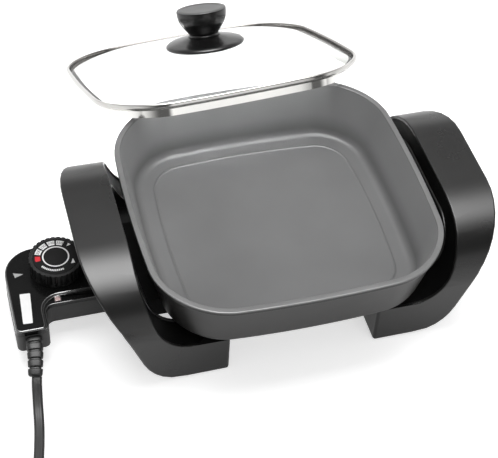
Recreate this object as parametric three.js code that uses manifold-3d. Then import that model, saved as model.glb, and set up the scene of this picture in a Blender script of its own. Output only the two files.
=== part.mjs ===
// Electric skillet with a glass lid leaned behind it and a plug-in heat control.
// Millimetres, +Z up. The model is drawn round the middle of the pan, with the table at z = 0,
// and is moved at the end so that its origin is the bottom centre of its box.

import * as THREE from 'three';
import { mergeVertices } from 'three/addons/utils/BufferGeometryUtils.js';
import Module from 'manifold-3d';

const wasm = await Module();
wasm.setup();

// Clearances used everywhere
const SEAT_GAP = 0.3;
const CUT_OVERRUN = 2;
const SCREW_GAP = 0.35;

// Pan: a rounded square that bows out along its sides, on bosses that stand on the two bridges
const PAN_WIDTH = 305;
const PAN_CORNER = 73;
const PAN_BOW = 9.2;
const PAN_DEPTH = 60;
const PAN_FLOOR = 5;
const PAN_STANDOFF = 11;
const LIP_WIDTH = 5;
const LIP_DEPTH = 4.5;
const LIP_EDGE = 1.2;
const LIP_STEP = 1.8;
const WALL_DRAFT = 13;
const PAN_HEEL = 9;
const PAN_COVE = 8;
const FLOOR_BEAD_INSET = 12;
const FLOOR_BEAD_WIDTH = 3;
const FLOOR_BEAD_RISE = 0.8;
const BRIDGE_TOP = 47;
const UNDERSIDE = BRIDGE_TOP + PAN_STANDOFF;
const FLOOR_HEIGHT = UNDERSIDE + PAN_FLOOR;
const RIM_HEIGHT = FLOOR_HEIGHT + PAN_DEPTH;
const PAN_HALF = PAN_WIDTH / 2;

// Rounded-square rings are drawn with these steps
const SIDE_STEPS = 3;
const CORNER_STEPS = 8;
const EDGE_ROUND_STEPS = 3;
const ROUND_STEPS = 20;
const PIN_STEPS = 12;

// Handles: one band that is grip, two legs and two feet
const GRIP_CLEARANCE = 10.5;
const GRIP_WIDTH = 51;
const GRIP_INNER = PAN_HALF + GRIP_CLEARANCE;
const GRIP_OUTER = GRIP_INNER + GRIP_WIDTH;
const HANDLE_HEIGHT = 131;
const HANDLE_HALF = 116;
const HANDLE_SHIFT = -7;
// Each shoulder of the band is a quarter of an oval, longer than it is high.
const SHOULDER_LENGTH = 80;
const SHOULDER_DROP = 65;
const GRIP_THICKNESS = 25;
const LEG_THICKNESS = 36;
const ARCH_INNER_RADIUS = 34;
const FOOT_REACH = 86;
const FOOT_END = GRIP_INNER - FOOT_REACH;
const FOOT_DROP = 9.5;
const FOOT_HEIGHT = UNDERSIDE - FOOT_DROP;
const HANDLE_WALL = 3;
const PAD_STAND = 1;
const ARCH_STEPS = 9;
const EDGE_STEPS = 15;
// How far each point of the band's inner edge has moved towards the foot's end, then its height
// over the foot, both as shares.
const INNER_EDGE_SHARES = [[0, 1], [0.006, 0.842], [0.052, 0.673], [0.099, 0.485], [0.157, 0.321],
  [0.217, 0.212], [0.291, 0.121], [0.384, 0.055], [0.5, 0.016], [0.7, 0], [1, 0]];
// The same for the outer edge, whose heights are shares of the whole handle.
const OUTER_EDGE_SHARES = [[0, 1], [0.012, 0.975], [0.036, 0.935], [0.073, 0.87], [0.124, 0.78],
  [0.197, 0.655], [0.263, 0.505], [0.32, 0.35], [0.371, 0.208], [0.41, 0.135], [0.467, 0.066],
  [0.547, 0.018], [0.65, 0], [1, 0]];

// Liner that closes the hollow of the band
const LINER_RECESS = 1.5;
const LINER_THICKNESS = 2.5;

// Bridge under each side of the pan, and the heat guard that stands on it
const BRIDGE_HEIGHT = 25;
const BRIDGE_INSET = 25;
const BRIDGE_WALL = 3;
const BRIDGE_WIDTH = 60;
const BRIDGE_OVERHANG = 3;
const BRIDGE_OUTER_X = GRIP_INNER + BRIDGE_OVERHANG;
const BRIDGE_INNER_X = BRIDGE_OUTER_X - BRIDGE_WIDTH;
const WING_WIDTH = 14;
const LEG_FACE = HANDLE_HALF - LEG_THICKNESS;
const BRIDGE_HALF = LEG_FACE - BRIDGE_INSET;
const GUARD_THICKNESS = 2.5;
const GUARD_FOOT = 10;

// Bosses and screws that hold the bridges to the pan and to the legs
const PAN_BOSS_INSET = 16;
const PAN_BOSS_X = BRIDGE_INNER_X + PAN_BOSS_INSET;
const PAN_BOSS_EDGE = 12;
const PAN_BOSS_Y = BRIDGE_HALF - PAN_BOSS_EDGE;
const PAN_BOSS_RADIUS = 6;
const SCREW_RADIUS = 2;
const SCREW_HEAD_RADIUS = 4;
const SCREW_HEAD_HEIGHT = 2.4;
const PAN_SCREW_BITE = 8;
const LEG_SCREW_DROP = 11;
const LEG_SCREW_Z = BRIDGE_TOP - LEG_SCREW_DROP;
const LEG_SCREW_BITE = 9;

// Rubber feet
const PAD_LENGTH = 44;
const PAD_WIDTH = 20;
const PAD_RECESS = 1.4;
const PAD_INSET = 27;
const PAD_X = FOOT_END + PAD_INSET;

// Heating element, its two terminals and the well for the probe
const PROBE_DROP = 11;
const PROBE_HEIGHT = BRIDGE_TOP - PROBE_DROP;
const PROBE_RADIUS = 3;
const PROBE_REACH = 34;
const PROBE_TIP_X = PROBE_REACH - BRIDGE_INNER_X;
const WELL_HALF_WIDTH = 8;
const WELL_WALL = 3;
const WELL_BORE_RADIUS = 3.5;
const WELL_LENGTH = 44;
const WELL_START_X = SEAT_GAP - BRIDGE_INNER_X;
const ELEMENT_RADIUS = 4;
const ELEMENT_MARGIN = 64.5;
const ELEMENT_BACK_REACH = 44;
const ELEMENT_END_REACH = 12;
const ELEMENT_SPREAD = PAN_HALF - ELEMENT_MARGIN;
const ELEMENT_FRONT_X = ELEMENT_SPREAD - ELEMENT_RADIUS;
const ELEMENT_BACK_X = ELEMENT_BACK_REACH - BRIDGE_INNER_X;
const ELEMENT_END_X = -BRIDGE_INNER_X - ELEMENT_END_REACH;
// Half the element's path: share of its front or back reach, then share of its spread
const ELEMENT_BACK_SHARES = [[1, 0.5], [0.7, 0.85]];
const ELEMENT_FRONT_SHARES = [[0, 1], [0.6, 0.85], [0.93, 0.45]];
const ELEMENT_TURN_SHARE = 0.25;
const ELEMENT_STEPS = 64;
const ELEMENT_SIDES = 8;
const TERMINAL_Y = 15;
const TERMINAL_RADIUS = 2.3;
const TERMINAL_STOP = 13;
const TERMINAL_TIP_X = TERMINAL_STOP - BRIDGE_OUTER_X;
const INSULATOR_RADIUS = 5;
const INSULATOR_LENGTH = 8;
const SHROUD_HALF_WIDTH = 30;
const SHROUD_WALL = 1;
const SHROUD_LENGTH = 9;
const SHROUD_END_X = -PAN_BOSS_X - SCREW_HEAD_RADIUS - SHROUD_WALL;
const SHROUD_START_X = SHROUD_END_X - SHROUD_LENGTH;
const SHROUD_HEIGHT = 18;

// Lid
const LID_WIDTH = 307;
const LID_CORNER = 78;
const LID_BOW = 8;
const BAND_HEIGHT = 17;
const BAND_METAL = 1.1;
const BAND_LIP = 4;
const SKIRT_INSET = 9;
const GLASS_THICKNESS = 3.4;
const GLASS_DOME = 19;
// Dome: share of the way in from the band, then share of the rise
const GLASS_DOME_SHARES = [[0.06, 0.2], [0.2, 0.46], [0.45, 0.75], [0.72, 1]];
const GLASS_HOLE_RADIUS = 3.6;
const LID_TILT = 27.7;
const LID_YAW = 3.3;
const LID_X = -6.5;
const REST_STEPS = 20;
const REST_STRIDES = 32;
const LID_HALF = LID_WIDTH / 2;
const BAND_EDGE_HEIGHT = GLASS_THICKNESS + 2 * SEAT_GAP + 2 * BAND_METAL;

// Lid knob
const KNOB_BASE_RADIUS = 45;
const KNOB_BASE_HEIGHT = 12;
const KNOB_NECK_RADIUS = 16;
const KNOB_TOP_RADIUS = 28.5;
const KNOB_HEIGHT = 43.5;
// Knob profile: share of the top's radius beyond the neck's, then share of the knob's own height
const KNOB_SHARES = [[0.12, 0], [0.02, 0.05], [0.02, 0.1], [0.28, 0.3], [0.62, 0.52], [0.88, 0.7],
  [0.98, 0.82], [1, 0.88], [1, 0.93], [0.94, 0.98]];
const KNOB_CROWN_SHARE = 0.8;
// Base profile: share of the base's radius beyond the neck's, then share of the base's height
const KNOB_BASE_SHARES = [[0.95, 0], [1, 0.1], [0.99, 0.28], [0.9, 0.48], [0.68, 0.68], [0.4, 0.84],
  [0.15, 0.95], [0, 1]];
const KNOB_SCREW_RADIUS = 2.5;
const KNOB_SCREW_LENGTH = 26;
const SEAL_RADIUS = 11;
const SEAL_THICKNESS = 1.5;
const WASHER_RADIUS = 8;
const WASHER_THICKNESS = 1.2;

// Heat control body: an arm that plugs in, and a tail that the cord leaves
const BODY_HEIGHT = 30;
const BODY_STANDOFF = 2.5;
const BODY_LENGTH = 111.5;
const BODY_FACE_X = -BRIDGE_OUTER_X - BODY_STANDOFF;
const BODY_FAR_X = BODY_FACE_X - BODY_LENGTH;
const BODY_HALF_WIDTH = 38.5;
const TAIL_WIDTH = 33;
const TAIL_END_Y = -69;
const BODY_BIG_CORNER = 33;
const BODY_SMALL_CORNER = 6;
const BODY_INNER_CORNER = 9;
const BODY_WALL = 2.3;
const UPPER_HEIGHT = 7;
const DECK_STEP = 2.5;
const DECK_MARGIN = 10;
const DECK_TAIL_MARGIN = 3;
const BODY_BOTTOM = PROBE_HEIGHT - BODY_HEIGHT / 2;
const BODY_TOP = BODY_BOTTOM + BODY_HEIGHT;
const SPLIT_HEIGHT = BODY_TOP - UPPER_HEIGHT;
const TAIL_X = BODY_FAR_X + TAIL_WIDTH / 2;

// Nose, contacts and thermostat
const NOSE_HALF_WIDTH = 22;
const NOSE_HALF_HEIGHT = 7.5;
const NOSE_REACH = 27;
const NOSE_ROOT = 11.5;
const NOSE_TIP_X = NOSE_REACH - BRIDGE_OUTER_X;
const NOSE_BACK_X = BODY_FACE_X - NOSE_ROOT;
const SLEEVE_RADIUS = 4;
const SLEEVE_RECESS = 2;
const SLEEVE_TAIL = 6;
const SLEEVE_TIP_X = NOSE_TIP_X - SLEEVE_RECESS;
const SLEEVE_BACK_X = NOSE_BACK_X - SLEEVE_TAIL;
const SLEEVE_STOP = 14;
const FRAME_THICKNESS = 2;
const FRAME_HALF_WIDTH = 13;
const FRAME_LENGTH = 46;
const CONTACT_ARM_WIDTH = 6;
const CONTACT_ARM_THICKNESS = 1;
const CONTACT_ARM_LENGTH = 34;
const CONTACT_ARM_SPACING = 3;

// Dial
const DIAL_SETBACK = 58.5;
const DIAL_X = BODY_FACE_X - DIAL_SETBACK;
const DIAL_Y = 6;
const DIAL_RADIUS = 27.3;
const DIAL_HEIGHT = 16.5;
const DIAL_FLUTE = 0.8;
const DIAL_FLUTES = 30;
// Outline of one flute: share of its turn, then share of its depth
const DIAL_FLUTE_SHARES = [[0, 0], [0.45, 0], [0.6, 1], [0.85, 1]];
const DIAL_SKIRT = 3;
const PLATE_RADIUS = 23.5;
const PLATE_THICKNESS = 0.8;
const SHAFT_RADIUS = 3;
const SHAFT_GRIP = 9;
const LAMP_SETBACK = 64.5;
const LAMP_X = BODY_FACE_X - LAMP_SETBACK;
const LAMP_Y = -32.5;
const LAMP_HALF = 2.6;
const LAMP_THICKNESS = 2.2;

// Screws that close the control's two shells: places as shares of the arm and the tail
const POST_RADIUS = 4.2;
const BODY_SCREW_RADIUS = 1.5;
const BODY_SCREW_HEAD_RADIUS = 2.8;
const BODY_SCREW_HEAD_HEIGHT = 1.8;
const BODY_SCREW_RECESS = 3;
const POST_EDGE = 7.5;

// Strain relief and cord: a flat twin lead
const CORD_WIDTH = 10;
const CORD_THICKNESS = 5.6;
const CORD_LIFT = 0.3;
const CORD_WAIST_SHARE = 0.75;
const RELIEF_WIDTH = 17;
const RELIEF_THICKNESS = 12;
const RELIEF_TAPER = 3;
const RELIEF_GROOVE = 1.6;
const RELIEF_RIBS = 4;
const RELIEF_NECK = 10;
const RELIEF_FLANGE = 3;
const RELIEF_SIDES = 12;
// How the relief bends as it droops: the powers of its share that its shift and drop follow
const RELIEF_SHIFT_POWER = 1.5;
const RELIEF_DROP_POWER = 1.6;
const RELIEF_STEP_SHARE = 0.01;
// One rib: shares of the way to the next where its groove starts, is deep, and ends
const RELIEF_GROOVE_SHARES = [0.08, 0.27, 0.35];
const RELIEF_LEAD_SHARE = 0.5;
const RELIEF_LAST_SHARE = 0.6;
// Power that squares up a round section
const SQUARED_POWER = 0.7;
const RELIEF_LENGTH = 36;
const RELIEF_END_DROP = 11.5;
const RELIEF_END_SHIFT = 5.5;
const RUN_STEPS = 14;
const TIE_WIDTH = 12;
const TIE_THICKNESS = 0.8;
const TIE_SLACK = 1.6;

// Coil of the spare cord: it spirals in on the table, climbs, and spirals out on top
const COIL_X = -229.5;
const COIL_Y = -278;
const COIL_RADIUS = 60.5;
const COIL_PITCH = 10.9;
const COIL_LAYER_GAP = 0.6;
const COIL_TURNS = 2.25;
const COIL_STEPS_PER_TURN = 24;
const COIL_CLIMB_START_SHARE = 0.8;
const COIL_CLIMB_END_SHARE = 1.3;
const COIL_LEAD = 10;
const COIL_TAIL = 46;
const COIL_START_ANGLE = Math.PI;
const COIL_BASE = TIE_THICKNESS + CORD_LIFT;

// Plug on the coil's tail
const PLUG_LENGTH = 34;
const PLUG_WIDTH = 26;
const PLUG_NECK = 14;
// Plug profile: share of its length, then share of its growth from cord to face
const PLUG_SHARES = [[0, 0], [0.18, 0.15], [0.3, 0.75], [0.45, 1], [0.8, 1], [0.92, 0.96], [1, 0.85]];
const BLADE_LENGTH = 17.5;
const BLADE_THICKNESS = 1.5;
const BLADE_HEIGHT = 6.4;
const BLADE_SPACING = 12.7;
const BLADE_ROOT = 6;

// Route of the cord from the strain relief to the coil
const CORD_ROUTE = [
  [-267.6, -105.8, 24.2], [-268.8, -111.5, 21.2], [-269.8, -118, 16.6], [-270.8, -125, 12],
  [-271.8, -132.5, 8], [-272.8, -141, 5.2], [-274, -150, 3.9], [-275.6, -160, 3.2],
  [-277.6, -171, 3.1], [-280, -183, 3.1], [-282.6, -196, 3.1], [-285.2, -209.5, 3.2],
  [-287.4, -223.5, 3.6], [-289, -238, 3.8], [-289.9, -252, 3.9], [-290, -267.6, 3.9],
];

// Turns a three.js geometry into a solid that can be joined and cut
function solidOf(geometry) {
  const bare = geometry.clone();
  bare.deleteAttribute('normal');
  bare.deleteAttribute('uv');
  const merged = mergeVertices(bare);
  const index = Array.from(merged.index.array);
  const corners = [];
  for (let i = 0; i < index.length; i += 3) {
    const [a, b, c] = index.slice(i, i + 3);
    if (a !== b && b !== c && a !== c) corners.push(a, b, c);
  }
  const places = Float32Array.from(merged.attributes.position.array);
  if (signedVolume(places, corners) < 0) {
    for (let i = 0; i < corners.length; i += 3) {
      [corners[i + 1], corners[i + 2]] = [corners[i + 2], corners[i + 1]];
    }
  }
  const triVerts = Uint32Array.from(corners);
  return new wasm.Manifold(new wasm.Mesh({ numProp: 3, vertProperties: places, triVerts }));
}

function signedVolume(places, corners) {
  const at = (i) => new THREE.Vector3(places[3 * i], places[3 * i + 1], places[3 * i + 2]);
  let volume = 0;
  for (let i = 0; i < corners.length; i += 3) {
    const cross = at(corners[i + 1]).cross(at(corners[i + 2]));
    volume += at(corners[i]).dot(cross);
  }
  return volume;
}

function geometryOf(solid) {
  const mesh = solid.getMesh();
  const geometry = new THREE.BufferGeometry();
  geometry.setAttribute('position', new THREE.BufferAttribute(Float32Array.from(mesh.vertProperties), 3));
  geometry.setIndex(Array.from(mesh.triVerts));
  geometry.computeVertexNormals();
  return geometry;
}

// The same piece for the other side of the pan
function mirrored(geometry) {
  const copy = geometry.clone();
  copy.scale(-1, 1, 1);
  const index = copy.index.array;
  for (let i = 0; i < index.length; i += 3) [index[i + 1], index[i + 2]] = [index[i + 2], index[i + 1]];
  copy.computeVertexNormals();
  return copy;
}

function box(x0, x1, y0, y1, z0, z1) {
  const geometry = new THREE.BoxGeometry(x1 - x0, y1 - y0, z1 - z0);
  geometry.translate((x0 + x1) / 2, (y0 + y1) / 2, (z0 + z1) / 2);
  return solidOf(geometry);
}

// A closed outline of [across, up] points, pushed from one place to another along an axis
function prism(axis, points, from, to) {
  const shape = new THREE.Shape(points.map(([u, v]) => new THREE.Vector2(u, v)));
  const geometry = new THREE.ExtrudeGeometry(shape, { depth: to - from, bevelEnabled: false, steps: 1 });
  const along = new THREE.Matrix4();
  if (axis === 'x') along.makeBasis(unit(0, 1, 0), unit(0, 0, 1), unit(1, 0, 0)).setPosition(from, 0, 0);
  if (axis === 'y') along.makeBasis(unit(1, 0, 0), unit(0, 0, 1), unit(0, -1, 0)).setPosition(0, to, 0);
  if (axis === 'z') along.setPosition(0, 0, from);
  return solidOf(geometry.applyMatrix4(along));
}

function unit(x, y, z) {
  return new THREE.Vector3(x, y, z);
}

// A round bar along an axis: the two middles are places across that axis
function bar(axis, radius, from, to, first, second, steps = PIN_STEPS) {
  const geometry = new THREE.CylinderGeometry(radius, radius, to - from, steps);
  const middle = (from + to) / 2;
  if (axis === 'x') geometry.rotateZ(Math.PI / 2).translate(middle, first, second);
  if (axis === 'y') geometry.translate(first, middle, second);
  if (axis === 'z') geometry.rotateX(Math.PI / 2).translate(first, second, middle);
  return solidOf(geometry);
}

// A turned piece: the profile is a list of [radius, height]
function turned(profile, steps = ROUND_STEPS) {
  const geometry = new THREE.LatheGeometry(profile.map(([r, z]) => new THREE.Vector2(r, z)), steps);
  return solidOf(geometry.rotateX(Math.PI / 2));
}

// Joins rings of points into one skin, capped at both ends or closed on itself
function loft(rings, closed) {
  const count = rings[0].length;
  const places = rings.flat().flatMap((p) => [p.x, p.y, p.z]);
  const corners = [];
  const last = closed ? rings.length : rings.length - 1;
  for (let r = 0; r < last; r += 1) {
    const next = (r + 1) % rings.length;
    for (let i = 0; i < count; i += 1) {
      const j = (i + 1) % count;
      corners.push(r * count + i, r * count + j, next * count + j);
      corners.push(r * count + i, next * count + j, next * count + i);
    }
  }
  if (!closed) {
    for (const end of [0, rings.length - 1]) {
      const middle = rings[end].reduce((sum, p) => sum.add(p), unit(0, 0, 0)).divideScalar(count);
      const hub = places.length / 3;
      places.push(middle.x, middle.y, middle.z);
      for (let i = 0; i < count; i += 1) {
        const edge = [end * count + i, end * count + ((i + 1) % count)];
        corners.push(hub, ...(end === 0 ? edge.reverse() : edge));
      }
    }
  }
  const geometry = new THREE.BufferGeometry();
  geometry.setAttribute('position', new THREE.Float32BufferAttribute(places, 3));
  geometry.setIndex(corners);
  return solidOf(geometry);
}

// One ring of a rounded square whose sides bow out, at a height
function squareRing(half, corner, bow, z) {
  const flat = half - corner;
  const quarter = [];
  for (let i = 0; i < SIDE_STEPS; i += 1) quarter.push([half, (flat * i) / SIDE_STEPS]);
  for (let i = 0; i < CORNER_STEPS; i += 1) {
    const turn = (Math.PI / 2) * (i / CORNER_STEPS);
    quarter.push([flat + corner * Math.cos(turn), flat + corner * Math.sin(turn)]);
  }
  for (let i = 0; i < SIDE_STEPS; i += 1) quarter.push([flat * (1 - i / SIDE_STEPS), half]);
  const ring = [];
  for (let q = 0; q < 4; q += 1) {
    const turn = (Math.PI / 2) * q;
    for (const [px, py] of quarter) {
      const x = px * Math.cos(turn) - py * Math.sin(turn);
      const y = px * Math.sin(turn) + py * Math.cos(turn);
      ring.push(unit(pulledIn(x, y, half, bow), pulledIn(y, x, half, bow), z));
    }
  }
  return ring;
}

function pulledIn(along, across, half, bow) {
  const reach = Math.min(1, Math.abs(along) / half);
  return along - Math.sign(along) * bow * (across / half) ** 2 * reach ** 3;
}

// A ring of the pan, drawn in from its outer edge
function panRing([inset, z]) {
  const half = PAN_HALF - inset;
  return squareRing(half, PAN_CORNER - inset, (PAN_BOW * half) / PAN_HALF, z);
}

// Quarter-round steps from one [inset, height] to another
function roundOver(from, to, hollow) {
  const points = [];
  for (let i = 0; i <= EDGE_ROUND_STEPS; i += 1) {
    const turn = (Math.PI / 2) * (i / EDGE_ROUND_STEPS);
    const across = hollow ? 1 - Math.cos(turn) : Math.sin(turn);
    const up = hollow ? Math.sin(turn) : 1 - Math.cos(turn);
    points.push([from[0] + (to[0] - from[0]) * across, from[1] + (to[1] - from[1]) * up]);
  }
  return points;
}

function makePan() {
  const outerFoot = LIP_STEP + WALL_DRAFT;
  const innerFoot = LIP_WIDTH + LIP_EDGE + WALL_DRAFT;
  const bead = innerFoot + PAN_COVE + FLOOR_BEAD_INSET;
  const profile = [
    ...roundOver([outerFoot + PAN_HEEL, UNDERSIDE], [outerFoot, UNDERSIDE + PAN_HEEL], false),
    [LIP_STEP, RIM_HEIGHT - LIP_DEPTH - LIP_EDGE],
    [0, RIM_HEIGHT - LIP_DEPTH],
    [0, RIM_HEIGHT - LIP_EDGE],
    [LIP_EDGE, RIM_HEIGHT],
    [LIP_WIDTH, RIM_HEIGHT],
    [LIP_WIDTH + LIP_EDGE, RIM_HEIGHT - LIP_EDGE],
    ...roundOver([innerFoot, FLOOR_HEIGHT + PAN_COVE], [innerFoot + PAN_COVE, FLOOR_HEIGHT], true),
    [bead, FLOOR_HEIGHT],
    [bead + FLOOR_BEAD_WIDTH / 2, FLOOR_HEIGHT + FLOOR_BEAD_RISE],
    [bead + FLOOR_BEAD_WIDTH, FLOOR_HEIGHT],
  ];
  let pan = loft(profile.map(panRing), false);
  for (const side of [-1, 1]) {
    for (const end of [-1, 1]) {
      const place = [side * PAN_BOSS_X, end * PAN_BOSS_Y];
      const floor = BRIDGE_TOP + SEAT_GAP;
      pan = pan.add(bar('z', PAN_BOSS_RADIUS, floor, UNDERSIDE + PAN_FLOOR / 2, ...place));
      pan = pan.subtract(bar('z', SCREW_RADIUS + SCREW_GAP, floor - CUT_OVERRUN,
        floor + PAN_SCREW_BITE + SEAT_GAP, ...place));
    }
  }
  return pan.add(makeWell()).subtract(bar('x', WELL_BORE_RADIUS, WELL_START_X - CUT_OVERRUN,
    PROBE_TIP_X + SEAT_GAP * 2, 0, PROBE_HEIGHT));
}

// Block under the floor that takes the tip of the probe
function makeWell() {
  const end = WELL_START_X + WELL_LENGTH;
  const bottom = PROBE_HEIGHT - WELL_BORE_RADIUS - WELL_WALL;
  return box(WELL_START_X, end, -WELL_HALF_WIDTH, WELL_HALF_WIDTH, bottom, UNDERSIDE + PAN_FLOOR / 2);
}

// The element lies under the floor in a horseshoe and drops to its two terminals
function makeElement() {
  const high = UNDERSIDE - ELEMENT_RADIUS - SEAT_GAP;
  const middleX = (ELEMENT_END_X + ELEMENT_BACK_X) / 2;
  const half = [
    [ELEMENT_END_X, TERMINAL_Y, PROBE_HEIGHT],
    [(ELEMENT_END_X + middleX) / 2, TERMINAL_Y, PROBE_HEIGHT],
    [middleX, TERMINAL_Y + (ELEMENT_SPREAD - TERMINAL_Y) * ELEMENT_TURN_SHARE, (PROBE_HEIGHT + high) / 2],
    ...ELEMENT_BACK_SHARES.map(([along, wide]) => [along * ELEMENT_BACK_X, wide * ELEMENT_SPREAD, high]),
    ...ELEMENT_FRONT_SHARES.map(([along, wide]) => [along * ELEMENT_FRONT_X, wide * ELEMENT_SPREAD, high]),
  ];
  const back = half.map(([x, y, z]) => unit(x, -y, z)).reverse();
  const points = [...half.map((p) => unit(...p)), unit(ELEMENT_FRONT_X, 0, high), ...back];
  const path = new ElementPath(points, false, 'centripetal');
  path.ceiling = high;
  return solidOf(tube(path, circlePoints(ELEMENT_RADIUS, ELEMENT_SIDES), ELEMENT_STEPS));
}

// A smooth path that the underside of the pan keeps from rising too far
class ElementPath extends THREE.CatmullRomCurve3 {
  getPoint(share, target = unit(0, 0, 0)) {
    super.getPoint(share, target);
    target.z = Math.min(target.z, this.ceiling);
    return target;
  }
}

function circlePoints(radius, sides) {
  const points = [];
  for (let i = 0; i < sides; i += 1) {
    const turn = (2 * Math.PI * i) / sides;
    points.push([radius * Math.cos(turn), radius * Math.sin(turn)]);
  }
  return points;
}

function tube(path, section, steps) {
  const shape = new THREE.Shape(section.map(([u, v]) => new THREE.Vector2(u, v)));
  return new THREE.ExtrudeGeometry(shape, { steps, extrudePath: path, bevelEnabled: false });
}

function makeTerminal(y) {
  return bar('x', TERMINAL_RADIUS, TERMINAL_TIP_X, ELEMENT_END_X - SEAT_GAP, y, PROBE_HEIGHT);
}

function makeInsulator(y) {
  const from = ELEMENT_END_X - SEAT_GAP - INSULATOR_LENGTH;
  const to = ELEMENT_END_X - SEAT_GAP;
  const bead = bar('x', INSULATOR_RADIUS, from, to, y, PROBE_HEIGHT);
  const bore = TERMINAL_RADIUS + SEAT_GAP;
  return bead.subtract(bar('x', bore, from - CUT_OVERRUN, to + CUT_OVERRUN, y, PROBE_HEIGHT));
}

// Steel shroud round both terminals, hung from the bridge's ceiling
function makeShroud() {
  const top = BRIDGE_TOP - BRIDGE_WALL - SEAT_GAP;
  const bottom = top - SHROUD_HEIGHT;
  const w = SHROUD_HALF_WIDTH;
  const shroud = box(SHROUD_START_X, SHROUD_END_X, -w, w, bottom, top);
  return shroud.subtract(box(SHROUD_START_X - CUT_OVERRUN, SHROUD_END_X + CUT_OVERRUN,
    SHROUD_WALL - w, w - SHROUD_WALL, bottom + SHROUD_WALL, top - SHROUD_WALL));
}

// Edges of the band, seen from the front
function innerEdge() {
  return INNER_EDGE_SHARES.map(([move, rise]) => new THREE.Vector2(
    GRIP_INNER - move * (GRIP_INNER - FOOT_END),
    FOOT_HEIGHT + rise * (HANDLE_HEIGHT - FOOT_HEIGHT),
  ));
}

function outerEdge() {
  return OUTER_EDGE_SHARES.map(([move, rise]) => new THREE.Vector2(
    GRIP_OUTER - move * (GRIP_OUTER - FOOT_END),
    PAD_STAND + rise * (HANDLE_HEIGHT - PAD_STAND),
  ));
}

// A smooth edge moved sideways: a positive move goes towards the pan
function movedEdge(points, move) {
  const curve = new THREE.SplineCurve(points);
  const moved = [];
  for (let i = 0; i <= EDGE_STEPS; i += 1) {
    const place = curve.getPoint(i / EDGE_STEPS);
    const tangent = curve.getTangent(i / EDGE_STEPS);
    moved.push([place.x + tangent.y * move, place.y - tangent.x * move]);
  }
  return moved;
}

// The arch of the band, seen from the side, drawn in by a distance all round
function archOutline(inset, legs, bottom) {
  const half = HANDLE_HALF - inset;
  const top = HANDLE_HEIGHT - inset;
  const innerHalf = LEG_FACE + inset;
  const innerTop = HANDLE_HEIGHT - GRIP_THICKNESS + inset;
  const innerRadius = ARCH_INNER_RADIUS + inset;
  const outside = archSide(half, top, SHOULDER_LENGTH - inset, SHOULDER_DROP - inset, bottom);
  if (!legs) return outside;
  return [...outside, ...archSide(innerHalf, innerTop, innerRadius, innerRadius, bottom).reverse()];
}

function archSide(half, top, length, drop, bottom) {
  const quarter = [[half, bottom]];
  for (let i = 0; i <= ARCH_STEPS; i += 1) {
    const turn = (Math.PI / 2) * (i / ARCH_STEPS);
    quarter.push([half - length + length * Math.cos(turn), top - drop + drop * Math.sin(turn)]);
  }
  const other = quarter.map(([y, z]) => [-y, z]).reverse();
  return [...quarter, ...other].map(([y, z]) => [y + HANDLE_SHIFT, z]);
}

// Right handle: the arch seen from the side meets the swept band seen from the front
function makeHandle() {
  const reach = GRIP_OUTER + CUT_OVERRUN;
  const width = HANDLE_HALF - HANDLE_SHIFT + CUT_OVERRUN;
  const arch = prism('x', archOutline(0, true, 0), FOOT_END - CUT_OVERRUN, reach);
  const face = [...movedEdge(outerEdge(), 0), ...movedEdge(innerEdge(), 0).reverse()];
  const skin = arch.intersect(prism('y', face, -width, width));
  const archHollow = prism('x', archOutline(HANDLE_WALL, true, -CUT_OVERRUN), FOOT_END - CUT_OVERRUN, reach);
  const mouth = movedEdge(innerEdge(), CUT_OVERRUN);
  const back = movedEdge(outerEdge(), HANDLE_WALL);
  const hollowFace = [...back.map(keepEnds), ...mouth.map(keepEnds).reverse()];
  let handle = skin.subtract(archHollow.intersect(prism('y', hollowFace, -width, width)));
  for (const end of [-1, 1]) {
    handle = handle.subtract(legScrewHole(end));
    handle = handle.subtract(padSolid(end, SEAT_GAP, CUT_OVERRUN));
  }
  return handle;
}

// The hollow stops one wall short of the foot's end and of the crown
function keepEnds([x, z]) {
  const low = PAD_STAND + HANDLE_WALL + PAD_RECESS;
  return [Math.max(x, FOOT_END + HANDLE_WALL), Math.min(Math.max(z, low), HANDLE_HEIGHT + CUT_OVERRUN)];
}

function makeLiner() {
  const width = HANDLE_HALF - HANDLE_SHIFT + CUT_OVERRUN;
  const near = movedEdge(innerEdge(), -LINER_RECESS);
  const far = movedEdge(innerEdge(), -LINER_RECESS - LINER_THICKNESS);
  const keep = ([x, z]) => [Math.max(x, FOOT_END + HANDLE_WALL + SEAT_GAP), Math.min(z, HANDLE_HEIGHT)];
  const strip = prism('y', [...near.map(keep), ...far.map(keep).reverse()], -width, width);
  const arch = prism('x', archOutline(HANDLE_WALL + SEAT_GAP, true, 0), FOOT_END, GRIP_OUTER);
  return strip.intersect(arch);
}

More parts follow.
